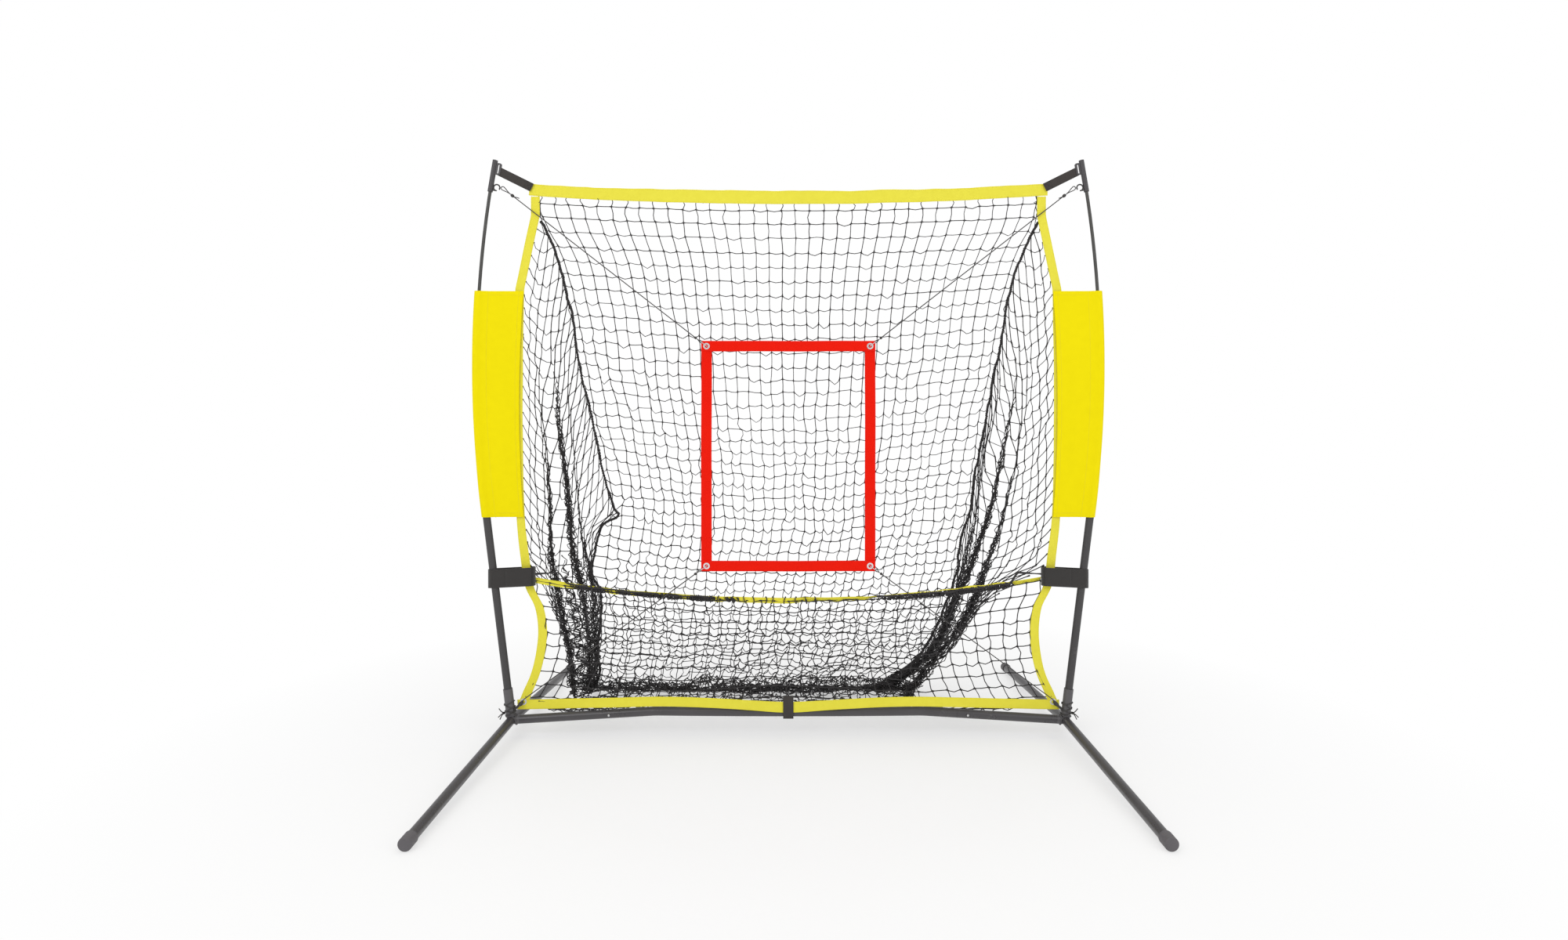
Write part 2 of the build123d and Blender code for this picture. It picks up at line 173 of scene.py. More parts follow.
def ribbon(name, rows, thickness, material, bevel=0.0004):  # a tape or cloth through rows of points across it
    stations = [0.0]
    for a, b in zip(rows, rows[1:]):
        stations.append(stations[-1] + (b[0] - a[0]).length)
    bm = bmesh.new()
    drape(bm, rows, stations)
    bmesh.ops.recalc_face_normals(bm, faces=bm.faces)
    piece = finishMesh(name, bm, material, crease=35)
    shell = piece.modifiers.new("cloth", "SOLIDIFY")
    shell.thickness = thickness
    shell.offset = 0
    if bevel:
        edge = piece.modifiers.new("edge", "BEVEL")
        edge.width = bevel
        edge.segments = 2
        edge.limit_method = "ANGLE"
    return piece


def stitchRow(bm, path, pitch=0.0058, length=0.0040, radius=0.00042, lift=Vector((0, -1, 0))):
    # sewing thread: short rounded stitches laid end to end along a line
    total, spots = 0.0, []
    for a, b in zip(path, path[1:]):
        span = (b - a).length
        while total <= span:
            spots.append((a.lerp(b, total / max(span, 1e-9)), (b - a).normalized()))
            total += pitch
        total -= span
    batch = bmesh.new()
    for i, (place, ahead) in enumerate(spots):
        side = ahead.cross(lift).normalized()
        turn = Matrix((side, lift, ahead)).transposed().to_4x4()
        stretch = Matrix.Diagonal((1, 0.7, length / radius / 2, 1))
        bmesh.ops.create_icosphere(batch, subdivisions=1, radius=radius,
                                   matrix=Matrix.Translation(place) @ turn @ stretch)
        if i % 40 == 39 or i == len(spots) - 1:
            part = bpy.data.meshes.new("stitches")
            batch.to_mesh(part)
            bm.from_mesh(part)
            bpy.data.meshes.remove(part)
            batch.free()
            batch = bmesh.new()
    batch.free()



view = {"distance": 2.5, "height": 0.88, "lens": 19.56, "shiftX": -0.00275, "shiftY": -0.0215}
camera = bpy.data.objects.new("camera", bpy.data.cameras.new("camera"))
camera.data.lens = view["lens"]
camera.data.shift_x, camera.data.shift_y = view["shiftX"], view["shiftY"]
camera.location = (0, -view["distance"], view["height"])
camera.rotation_euler = (math.pi / 2, 0, 0)
scene.collection.objects.link(camera)
scene.camera = camera

world = bpy.data.worlds.new("studio")
world.use_nodes = True
sky = world.node_tree
seen = sky.nodes.new("ShaderNodeLightPath")
level = sky.nodes.new("ShaderNodeMapRange")  # white behind the object, softer as a light
level.inputs[3].default_value, level.inputs[4].default_value = 0.66, 1.0
sky.links.new(seen.outputs["Is Camera Ray"], level.inputs[0])
sky.links.new(level.outputs[0], sky.nodes["Background"].inputs["Strength"])
sky.nodes["Background"].inputs["Color"].default_value = (1, 1, 1, 1)
scene.world = world
scene.view_settings.view_transform = "Standard"


def softbox(name, place, target, size, power):
    lamp = bpy.data.lights.new(name, "AREA")
    lamp.shape = "RECTANGLE"
    lamp.size, lamp.size_y = size
    lamp.energy = power
    holder = bpy.data.objects.new(name, lamp)
    holder.location = place
    holder.rotation_euler = (Vector(target) - Vector(place)).to_track_quat("-Z", "Y").to_euler()
    scene.collection.objects.link(holder)


softbox("keyLight", (-2.6, -3.4, 3.4), (0, 0, 0.7), (2.6, 2.0), 50)
softbox("fillLight", (3.0, -2.8, 2.4), (0, 0, 0.7), (2.2, 2.2), 26)
softbox("topLight", (0, 0.6, 4.2), (0, 0.1, 0), (4.0, 3.0), 38)



def addNode(tree, kind, values=None, **settings):
    node = tree.nodes.new("ShaderNode" + kind)
    for key, value in settings.items():
        setattr(node, key, value)
    for key, value in (values or {}).items():
        if hasattr(value, "is_output"):
            tree.links.new(value, node.inputs[key])
        else:
            node.inputs[key].default_value = value
    return node


def newGroup(name, inputs, outputs):
    group = bpy.data.node_groups.new(name, "ShaderNodeTree")
    for label, kind, value in inputs:
        socket = group.interface.new_socket(name=label, in_out="INPUT", socket_type="NodeSocket" + kind)
        if value is not None:
            socket.default_value = value
    for label, kind in outputs:
        group.interface.new_socket(name=label, in_out="OUTPUT", socket_type="NodeSocket" + kind)
    return group, group.nodes.new("NodeGroupInput"), group.nodes.new("NodeGroupOutput")


def calc(tree, operation, a, b=0.0):
    return addNode(tree, "Math", {0: a, 1: b}, operation=operation).outputs[0]


def makeWeave():  # plain weave: threads that pass over and under, on a map in metres
    group, given, out = newGroup("plainWeave", [("Vector", "Vector", None), ("Threads", "Float", 900.0),
                                                ("Rib", "Float",
                                                 0.5)], [("Height", "Float"), ("Shade", "Float")])
    parts = addNode(group, "SeparateXYZ", {0: given.outputs["Vector"]})
    warp = calc(group, "MULTIPLY", parts.outputs[0], given.outputs["Threads"])
    weft = calc(group, "MULTIPLY", parts.outputs[1], given.outputs["Threads"])
    warpWave = calc(group, "ABSOLUTE", calc(group, "SINE", calc(group, "MULTIPLY", warp, math.pi)))
    weftWave = calc(group, "ABSOLUTE", calc(group, "SINE", calc(group, "MULTIPLY", weft, math.pi)))
    total = calc(group, "ADD", calc(group, "FLOOR", warp), calc(group, "FLOOR", weft))
    over = calc(group, "GREATER_THAN", calc(group, "PINGPONG", total, 1.0), 0.5)
    height = addNode(group, "Mix", {"Factor": over, 2: warpWave, 3: weftWave}, data_type="FLOAT").outputs[0]
    ribbed = addNode(group, "Mix", {"Factor": given.outputs["Rib"], 2: height, 3: weftWave},
                     data_type="FLOAT").outputs[0]
    cloud = addNode(group, "TexNoise", {"Vector": given.outputs["Vector"], "Scale": 38.0, "Detail": 3.0})
    group.links.new(ribbed, out.inputs["Height"])
    shade = calc(group, "ADD", calc(group, "MULTIPLY", ribbed, 0.35),
                 calc(group, "MULTIPLY", cloud.outputs[0], 0.65))
    group.links.new(shade, out.inputs["Shade"])
    return group


def makeCloud():  # large and small noise on the object, for dust, fading and paint grain
    group, given, out = newGroup("cloudAndGrain", [("Scale", "Float", 8.0), ("Grain", "Float", 900.0)],
                                 [("Cloud", "Float"), ("Grain", "Float")])
    place = addNode(group, "TexCoord").outputs["Object"]
    cloud = addNode(group, "TexNoise", {"Vector": place, "Scale": given.outputs["Scale"], "Detail": 5.0,
                                        "Roughness": 0.6})
    grain = addNode(group, "TexNoise", {"Vector": place, "Scale": given.outputs["Grain"], "Detail": 2.0})
    group.links.new(cloud.outputs[0], out.inputs["Cloud"])
    group.links.new(grain.outputs[0], out.inputs["Grain"])
    return group


def makeWear():  # a mask of scuffs: stretched scratches and chips, strongest low on the object
    group, given, out = newGroup("scuffs", [("Amount", "Float", 0.5), ("Low", "Float", 0.25)],
                                 [("Mask", "Float")])
    place = addNode(group, "TexCoord").outputs["Object"]
    scratch = addNode(group, "TexNoise", {"Vector": place, "Scale": 160.0, "Detail": 6.0, "Roughness": 0.75})
    patch = addNode(group, "TexNoise", {"Vector": place, "Scale": 14.0, "Detail": 2.0})
    height = addNode(group, "SeparateXYZ", {0: place}).outputs[2]
    low = addNode(group, "MapRange", {0: height, 1: 0.0, 2: given.outputs["Low"], 3: 1.0, 4: 0.25}).outputs[0]
    chips = calc(group, "MULTIPLY", scratch.outputs[0], patch.outputs[0])
    mask = addNode(group, "MapRange", {0: chips, 1: 0.36, 2: 0.44, 3: 0.0, 4: 1.0}).outputs[0]
    group.links.new(calc(group, "MULTIPLY", calc(group, "MULTIPLY", mask, low), given.outputs["Amount"]),
                    out.inputs["Mask"])
    return group


def makeBraid():  # a braided cover or laid twine, on a map in metres round and along the cord
    group, given, out = newGroup("braid", [("Vector", "Vector", None), ("Pitch", "Float", 700.0)],
                                 [("Height", "Float")])
    parts = addNode(group, "SeparateXYZ", {0: given.outputs["Vector"]})
    across = calc(group, "MULTIPLY", parts.outputs[0], given.outputs["Pitch"])
    length = calc(group, "MULTIPLY", parts.outputs[1], given.outputs["Pitch"])
    one = calc(group, "ABSOLUTE", calc(group, "SINE", calc(group, "ADD", across, length)))
    two = calc(group, "ABSOLUTE", calc(group, "SINE", calc(group, "SUBTRACT", across, length)))
    group.links.new(calc(group, "MAXIMUM", one, two), out.inputs["Height"])
    return group


weaveGroup, cloudGroup, wearGroup, braidGroup = makeWeave(), makeCloud(), makeWear(), makeBraid()


def newMaterial(name):
    material = bpy.data.materials.new(name)
    material.use_nodes = True
    return material, material.node_tree, material.node_tree.nodes["Principled BSDF"]


def placeGroup(tree, group, values):
    node = tree.nodes.new("ShaderNodeGroup")
    node.node_tree = group
    for key, value in values.items():
        if hasattr(value, "is_output"):
            tree.links.new(value, node.inputs[key])
        else:
            node.inputs[key].default_value = value
    return node


def twoTone(tree, mask, dark, light):
    ramp = addNode(tree, "Mix", {"Factor": mask, 6: (*dark, 1), 7: (*light, 1)}, data_type="RGBA")
    return ramp.outputs[2]


def addBump(tree, shader, height, strength, distance):
    bump = addNode(tree, "Bump", {"Height": height, "Strength": strength, "Distance": distance})
    tree.links.new(bump.outputs[0], shader.inputs["Normal"])


def paintedTube(name, dark, light, scuffColour, roughness, grain):  # satin powder coat with dust and scuffs
    material, tree, shader = newMaterial(name)
    cloud = placeGroup(tree, cloudGroup, {"Scale": 9.0, "Grain": 1500.0})
    wear = placeGroup(tree, wearGroup, {"Amount": 0.55, "Low": 0.3})
    base = twoTone(tree, cloud.outputs["Cloud"], dark, light)
    worn = addNode(tree, "Mix", {"Factor": wear.outputs["Mask"], 6: base, 7: (*scuffColour, 1)},
                   data_type="RGBA")
    tree.links.new(worn.outputs[2], shader.inputs["Base Color"])
    rough = addNode(tree, "MapRange", {0: cloud.outputs["Cloud"], 1: 0.3, 2: 0.7, 3: roughness - 0.08,
                                       4: roughness + 0.1})
    tree.links.new(rough.outputs[0], shader.inputs["Roughness"])
    shader.inputs["Specular IOR Level"].default_value = 0.55
    addBump(tree, shader, cloud.outputs["Grain"], 0.35, grain)
    return material


def mouldedPart(name, dark, light, roughness, grain,
                grainScale):  # moulded plastic or rubber with a fine texture
    material, tree, shader = newMaterial(name)
    cloud = placeGroup(tree, cloudGroup, {"Scale": 22.0, "Grain": grainScale})
    tree.links.new(twoTone(tree, cloud.outputs["Cloud"], dark, light), shader.inputs["Base Color"])
    rough = addNode(tree, "MapRange", {0: cloud.outputs["Grain"], 1: 0.3, 2: 0.7, 3: roughness - 0.06,
                                       4: roughness + 0.06})
    tree.links.new(rough.outputs[0], shader.inputs["Roughness"])
    addBump(tree, shader, cloud.outputs["Grain"], 0.3, grain)
    return material


def platedMetal(name, dark, light, roughness):  # plated wire and eyelets, with cloudy tarnish
    material, tree, shader = newMaterial(name)
    cloud = placeGroup(tree, cloudGroup, {"Scale": 140.0, "Grain": 2600.0})
    tree.links.new(twoTone(tree, cloud.outputs["Cloud"], dark, light), shader.inputs["Base Color"])
    shader.inputs["Metallic"].default_value = 1.0
    rough = addNode(tree, "MapRange", {0: cloud.outputs["Cloud"], 1: 0.3, 2: 0.7, 3: roughness,
                                       4: roughness + 0.18})
    tree.links.new(rough.outputs[0], shader.inputs["Roughness"])
    addBump(tree, shader, cloud.outputs["Grain"], 0.15, 0.0001)
    return material


def wovenCloth(name, dark, light, threads, rib, roughness, height, sheen=0.02):
    material, tree, shader = newMaterial(name)
    place = addNode(tree, "UVMap").outputs[0]
    weave = placeGroup(tree, weaveGroup, {"Vector": place, "Threads": threads, "Rib": rib})
    cloud = placeGroup(tree, cloudGroup, {"Scale": 5.0, "Grain": 600.0})
    tone = calc(tree, "ADD", calc(tree, "MULTIPLY", weave.outputs["Shade"], 0.7),
                calc(tree, "MULTIPLY", cloud.outputs["Cloud"], 0.3))
    tree.links.new(twoTone(tree, tone, dark, light), shader.inputs["Base Color"])
    shader.inputs["Roughness"].default_value = roughness
    shader.inputs["Specular IOR Level"].default_value = 0.06
    shader.inputs["Sheen Weight"].default_value = sheen
    shader.inputs["Sheen Roughness"].default_value = 0.4
    addBump(tree, shader, weave.outputs["Height"], 0.6, height)
    return material


def fuzzyCloth(name, dark, light, roughness):  # brushed loop face of a hook-and-loop strap
    material, tree, shader = newMaterial(name)
    cloud = placeGroup(tree, cloudGroup, {"Scale": 60.0, "Grain": 1100.0})
    tree.links.new(twoTone(tree, cloud.outputs["Grain"], dark, light), shader.inputs["Base Color"])
    shader.inputs["Roughness"].default_value = roughness
    shader.inputs["Sheen Weight"].default_value = 0.35
    addBump(tree, shader, cloud.outputs["Grain"], 0.8, 0.0008)
    return material


def cordCover(name, dark, light, pitch, roughness, mapped=True):
    material, tree, shader = newMaterial(name)
    cloud = placeGroup(tree, cloudGroup, {"Scale": 30.0, "Grain": 1600.0})
    if mapped:
        place = addNode(tree, "UVMap").outputs[0]
        height = placeGroup(tree, braidGroup, {"Vector": place, "Pitch": pitch}).outputs["Height"]
    else:
        height = cloud.outputs["Grain"]
    tone = calc(tree, "ADD", calc(tree, "MULTIPLY", height, 0.5),
                calc(tree, "MULTIPLY", cloud.outputs["Cloud"], 0.5))
    tree.links.new(twoTone(tree, tone, dark, light), shader.inputs["Base Color"])
    shader.inputs["Roughness"].default_value = roughness
    addBump(tree, shader, height, 0.7, 0.0005)
    return material


mat = {
    "tube": paintedTube("powderCoatedTube", (0.040, 0.037, 0.040), (0.075, 0.070, 0.075), (0.20, 0.19, 0.19),
                        0.32,
                        0.0002),
    "pole": paintedTube("poleTubeCoat", (0.036, 0.034, 0.035), (0.056, 0.053, 0.054), (0.15, 0.14, 0.14),
                        0.50,
                        0.0002),
    "hub": paintedTube("weldedHubCoat", (0.075, 0.071, 0.075), (0.115, 0.109, 0.114), (0.22, 0.21, 0.21),
                       0.46,
                       0.0003),
    "rod": mouldedPart("fibreglassRod", (0.040, 0.039, 0.036), (0.075, 0.073, 0.068), 0.34, 0.0002, 900.0),
    "moulded": mouldedPart("mouldedTip", (0.042, 0.038, 0.041), (0.072, 0.067, 0.071), 0.45, 0.0003, 700.0),
    "rubber": mouldedPart("rubberCap", (0.088, 0.082, 0.088), (0.13, 0.122, 0.130), 0.62, 0.0004, 500.0),
    "wire": platedMetal("darkWire", (0.045, 0.043, 0.043), (0.11, 0.105, 0.105), 0.34),
    "bright": platedMetal("brightWire", (0.45, 0.45, 0.46), (0.75, 0.75, 0.76), 0.22),
    "eyelet": platedMetal("nickelEyelet", (0.62, 0.62, 0.63), (0.90, 0.90, 0.90), 0.24),
    "sleeve": wovenCloth("sleeveCloth", (0.83, 0.69, 0.001), (0.95, 0.81, 0.002), 1400.0, 0.0, 0.62, 0.00015),
    "binding": wovenCloth("bindingTape", (0.74, 0.66, 0.045), (0.90, 0.83, 0.085), 1300.0, 0.15, 0.62,
                          0.0002),
    "webbing": wovenCloth("blackWebbing", (0.045, 0.040, 0.038), (0.078, 0.070, 0.066), 620.0, 0.7, 0.75,
                          0.0004),
    "strap": fuzzyCloth("loopStrap", (0.017, 0.015, 0.014), (0.038, 0.034, 0.032), 0.9),
    "red": wovenCloth("redWebbing", (0.78, 0.007, 0.001), (0.92, 0.014, 0.003), 560.0, 0.75, 0.60, 0.0004),
    "redThread": cordCover("redThread", (0.55, 0.008, 0.003), (0.75, 0.02, 0.008), 800.0, 0.5, mapped=False),
    "yellowThread": cordCover("yellowThread", (0.66, 0.56, 0.02), (0.82, 0.74, 0.06), 800.0, 0.5,
                              mapped=False),
    "blackThread": cordCover("blackThread", (0.016, 0.015, 0.015), (0.045, 0.042, 0.042), 800.0, 0.6,
                             mapped=False),
    "elastic": cordCover("elasticCover", (0.030, 0.028, 0.028), (0.075, 0.070, 0.068), 1500.0, 0.6),
    "twine": cordCover("netTwine", (0.012, 0.011, 0.012), (0.042, 0.038, 0.040), 900.0, 0.75, mapped=False),
    "rope": cordCover("seamRope", (0.012, 0.011, 0.012), (0.038, 0.035, 0.036), 600.0, 0.8),
}
print("materials made")


def dress(material, *nodes):
    for node in nodes:
        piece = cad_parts[node]
        for place in piece.material_slots:
            place.material = mat[material]


for side in sides:
    dress("hub", f"hub_{side}")
    dress("tube", f"crossbar_arm_{side}", f"leg_front_{side}", f"leg_rear_{side}")
    dress("pole", f"pole_tube_{side}")
    dress("rubber", f"foot_cap_front_{side}", f"foot_cap_rear_{side}")
    dress("rod", f"pole_rod_{side}")
    dress("moulded", f"tip_cap_{side}")
    dress("wire", f"tip_hook_{side}")
    dress("bright", f"snap_button_{side}")
dress("tube", "crossbar_middle")
dress("moulded", "pole_collars")
dress("bright", "snap_springs", "target_hooks")
dress("eyelet", "target_grommets", "hem_grommets")



def makeFloor():
    bm = bmesh.new()
    bmesh.ops.create_grid(bm, x_segments=8, y_segments=8, size=14)
    material, tree, shader = newMaterial("paleFloor")
    cloud = placeGroup(tree, cloudGroup, {"Scale": 1.5, "Grain": 60.0})
    tree.links.new(twoTone(tree, cloud.outputs["Cloud"], (0.93, 0.93, 0.93), (0.95, 0.95, 0.95)),
                   shader.inputs["Base Color"])
    shader.inputs["Roughness"].default_value = 0.6
    place = addNode(tree, "TexCoord").outputs["Object"]
    far = addNode(tree, "VectorMath", {0: place}, operation="LENGTH").outputs["Value"]
    fade = addNode(tree, "MapRange", {0: far, 1: 0.7, 2: 1.9, 3: 0.45, 4: 1.0}).outputs[0]
    glow = addNode(tree, "Emission", {"Color": (1, 1, 1, 1), "Strength": 1.0})
    blendFloor = tree.nodes.new("ShaderNodeMixShader")
    tree.links.new(fade, blendFloor.inputs[0])
    tree.links.new(shader.outputs[0], blendFloor.inputs[1])
    tree.links.new(glow.outputs[0], blendFloor.inputs[2])
    tree.links.new(blendFloor.outputs[0], tree.nodes["Material Output"].inputs["Surface"])
    finishMesh("floor", bm, material)


makeFloor()


targetBox = (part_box("target_tape_left")[0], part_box("target_tape_right")[1])

net = {
    "mesh": 0.0416, "twine": 0.0012, "knot": 1.8, "columns": 36, "bandLow": 1.566,
    "plane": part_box("side_binding_right")[1][1] + 0.001, "ground": 0.006,
}


def curve(*points):  # a smooth falling line through places given in metres, densely sampled
    points = [Vector(p) for p in points]
    return [along(points, i / 120) for i in range(121)]


# each side panel hangs between the binding and the seam, gathered along the lines in between
bag = {
    "left": {
        "seam": curve((-.731, .012, 1.514), (-.707, .06, 1.457), (-.691, .10, 1.375), (-.682, .13, 1.311),
                      (-.673, .16, 1.249), (-.664, .205, 1.116), (-.639, .255, .951), (-.614, .305, .779),
                      (-.583, .34, .645), (-.568, .350, .616), (-.622, .36, .584), (-.640, .37, .542),
                      (-.663, .38, .414), (-.639, .39, .361), (-.638, .40, .258), (-.651, .41, .170),
                      (-.647, .42, .077), (-.665, .44, .010)),
        "backEdge": curve((-.752, .008, 1.566), (-.746, .014, 1.53), (-.731, .030, 1.490),
                          (-.707, .068, 1.440),
                          (-.691, .10, 1.375), (-.682, .13, 1.311), (-.673, .16, 1.249), (-.664, .205, 1.116),
                          (-.639, .255, .951), (-.614, .305, .779), (-.604, .34, .65), (-.615, .36, .56),
                          (-.630, .38, .45), (-.638, .40, .258), (-.650, .42, .10), (-.665, .44, .012)),
        "gathers": [curve((-.734, .01, 1.508), (-.751, .05, 1.248), (-.753, .09, .98), (-.736, .13, .701),
                          (-.739, .15, .531), (-.72, .17, .381), (-.701, .21, .217), (-.703, .30, .02)),
                    curve((-.731, .015, 1.509), (-.726, .08, 1.253), (-.713, .12, 1.066), (-.714, .15, .921),
                          (-.698, .20, .696), (-.691, .23, .523), (-.665, .25, .382), (-.65, .28, .207),
                          (-.668, .36, .02)),
                    curve((-.728, .02, 1.511), (-.706, .11, 1.257), (-.688, .19, .922), (-.683, .25, .716),
                          (-.67, .29, .516), (-.644, .31, .366), (-.643, .34, .193), (-.666, .42, .018))],
        "shares": [0.30, 0.55, 0.76], "freeEdge": 0.50, "slack": 2.15,
        "edge": curve((-.748, .004, .53), (-.742, .03, .47), (-.735, .08, .41), (-.727, .12, .35),
                      (-.714, .16, .29),
                      (-.700, .20, .22), (-.702, .27, .12), (-.715, .34, .015)),
    },
    "right": {
        "seam": curve((.736, .012, 1.512), (.707, .08, 1.431), (.680, .13, 1.311), (.671, .19, 1.172),
                      (.656, .22, 1.073), (.645, .25, .974), (.632, .283, .862), (.616, .315, .750),
                      (.610, .34, .653), (.588, .36, .560), (.574, .38,
                                                             .480), (.572, .385, .424), (.536, .40, .312),
                      (.494, .42, .200), (.430, .44, .101), (.338, .46, .033), (.300, .46, .010)),
        "backEdge": curve((.752, .008, 1.566), (.747, .014, 1.53), (.734, .032, 1.492), (.707, .08, 1.431),
                          (.680, .13, 1.311), (.671, .19, 1.172), (.656, .22, 1.073), (.645, .25, .974),
                          (.632, .283, .862), (.616, .315, .750), (.604, .345, .62), (.585, .365, .52),
                          (.570, .385, .424), (.536, .40, .312), (.494, .42, .200), (.430, .44, .101),
                          (.338, .46, .028)),
        "gathers": [curve((.748, .01, 1.508), (.735, .06, 1.25), (.722, .1, 1.016), (.707, .13, .824),
                          (.678, .16, .665), (.646, .18, .535), (.604, .19, .42), (.581, .2, .348),
                          (.537, .23, .255), (.453, .28, .131), (.388, .33, .016)),
                    curve((.744, .02, 1.511), (.718, .1, 1.256), (.705, .16, 1.01), (.678, .2, .823),
                          (.653, .24, .653), (.62, .26, .542), (.573, .28, .404), (.536, .3, .306),
                          (.514, .31, .236), (.455, .34, .141), (.383, .37, .067), (.304, .4, .012)),
                    curve((.741, .025, 1.512), (.694, .13, 1.26), (.668, .2, 1.012), (.633, .25, .822),
                          (.619, .29, .649), (.602, .32, .535), (.57, .34, .394), (.532, .36, .267),
                          (.501, .38, .183), (.426, .41, .096), (.322, .44, .014))],
        "shares": [0.42, 0.63, 0.82], "freeEdge": 0.52, "slack": 2.15,
        "edge": curve((.756, .004, .54), (.735, .012, .49), (.700, .03, .455), (.666, .05, .430),
                      (.620, .10, .385),
                      (.588, .14, .340), (.540, .18, .250), (.476, .24, .138), (.400, .32, .015)),
    },
}


def bindingEdge(side, z, outer=False):  # the side binding's edge at a height, bowed as it is stretched
    shape = [(1.583, .757, .731), (1.529, .757, .731), (1.312, .803, .777), (1.15, .8055, .780),
             (.972, .806, .781),
             (.80, .8045, .7795), (.638, .799, .775), (.494, .784,
                                                       .758), (.436, .773, .748), (.378, .745, .720),
             (.310, .736, .710), (.240, .742, .716), (.180, .757,
                                                      .731), (.112, .786, .758), (.085, .796, .770)]
    points = [Vector((s[1] if outer else s[2], 0, s[0])) for s in shape]
    if z >= shape[2][0]:
        return atHeight(points, z).x * sides[side]
    for i in range(2, len(points) - 1):
        if points[i].z >= z >= points[i + 1].z:
            f = (points[i].z - z) / (points[i].z - points[i + 1].z)
            before, after = points[max(i - 1, 2)].x, points[min(i + 2, len(points) - 1)].x
            a, b = points[i].x, points[i + 1].x
            smooth = 0.5 * (2 * a + (b - before) * f + (2 * before - 5 * a + 4 * b - after) * f * f
                            + (3 * a - before - 3 * b + after) * f ** 3)
            return smooth * sides[side]
    return points[-1].x * sides[side]


def frontEdge(side, z):  # the side panel's front edge: on the binding, then free below the strap
    guide = bag[side]
    tied = Vector((bindingEdge(side, z), net["plane"], z))
    if z > guide["freeEdge"]:
        return tied
    return tied.lerp(atHeight(guide["edge"], z), smoothStep((guide["freeEdge"] - z) / 0.05))


def slackSpan(a, b, rest, drop, seed):  # one mesh side: slack twine between two knots
    reach = (b - a).length
    spare = max(rest - reach, 0.0)
    bow = min(math.sqrt(0.28 * rest * spare), 0.0095)
    lean = Vector((wobble(seed, 1.7), wobble(seed, 5.1), wobble(seed, 9.3)))
    push = drop + lean * 1.5
    ahead = (b - a).normalized() if reach > 1e-6 else Vector((1, 0, 0))
    push = (push - ahead * push.dot(ahead)) * (bow + 0.0010)
    curl = ahead.cross(Vector((0, 1, 0))) * bow * 0.7 * wobble(seed, 12.9)
    return [(a.lerp(b, 0.15) + push * 0.4 + curl, 1.0), (a.lerp(b, 0.5) + push, 1.0),
            (a.lerp(b, 0.85) + push * 0.4 - curl, 1.0)]


def strandThrough(knots, rest, drop, seed):
    strand = []
    for i, (a, b) in enumerate(zip(knots, knots[1:])):
        strand.append((a, net["knot"]))
        strand += slackSpan(a, b, rest, drop, seed + i * 3.17)
    strand.append((knots[-1], net["knot"]))
    heavy = 1 + 0.22 * smoothStep((0.85 - knots[len(knots) // 2].z) / 0.5)  # fluffier low down
    return [(Vector((p.x, p.y, max(p.z, 0.002))), r * heavy) for p, r in strand]


def makeNetting(name, strands, node=None):
    piece = twine(name, strands, net["twine"], mat["twine"], resolution=0)
    attach(piece, "frame", node)
    print(name, sum(len(p.vertices) - 2 for p in piece.data.polygons), "triangles")
    return piece


def squareStrands(knots):  # rows of knots joined both ways
    strands = []
    for i, row in enumerate(knots):
        strands.append(strandThrough(row, net["mesh"], Vector((0, 0, -0.8)), i * 7.3))
    for j in range(len(knots[0])):
        column = [row[j] for row in knots]
        strands.append(strandThrough(column, net["mesh"], Vector((0, 0, 0)), 500 + j * 5.9))
    return strands


def bundle(points, start, end, count, spread, seed):  # netting crushed into a rope of crossing twines
    strands = []
    length = sum((b - a).length for a, b in zip(points, points[1:])) * (end - start)
    for k in range(count):
        strand = []
        first = 0.40 * k / count
        steps = int(length * (1 - first) / 0.013)
        for i in range(steps + 1):
            f = mix(first, 1.0, i / steps)
            place = along(points, mix(start, end, f))
            wide = spread * (0.40 + 0.60 * smoothStep(f * 1.3))
            zig = 0.8 if (i // 2 + k) % 2 else -0.8
            place.x += wide * (wobble(k * 3.1 + seed, i * 0.30) * 1.5 + zig * 0.7)
            place.y += wide * (wobble(k * 2.3, i * 0.27, seed) * 2.0 + 0.3 * zig)
            place.z = max(place.z + wide * wobble(k * 1.7, i * 0.33, seed + 4), 0.004)
            strand.append((place, net["knot"] * 0.9 if i % 3 == 0 else 1.0))
        strands.append(strand)
    return strands


# net back: level rows under the top band, then a long fall back to the ground


def backHeights():
    z, heights = 1.567, []
    while z > 0.045:
        heights.append(z)
        z -= 0.0378 - 0.0175 * smoothStep((0.60 - z) / 0.5)
    return heights


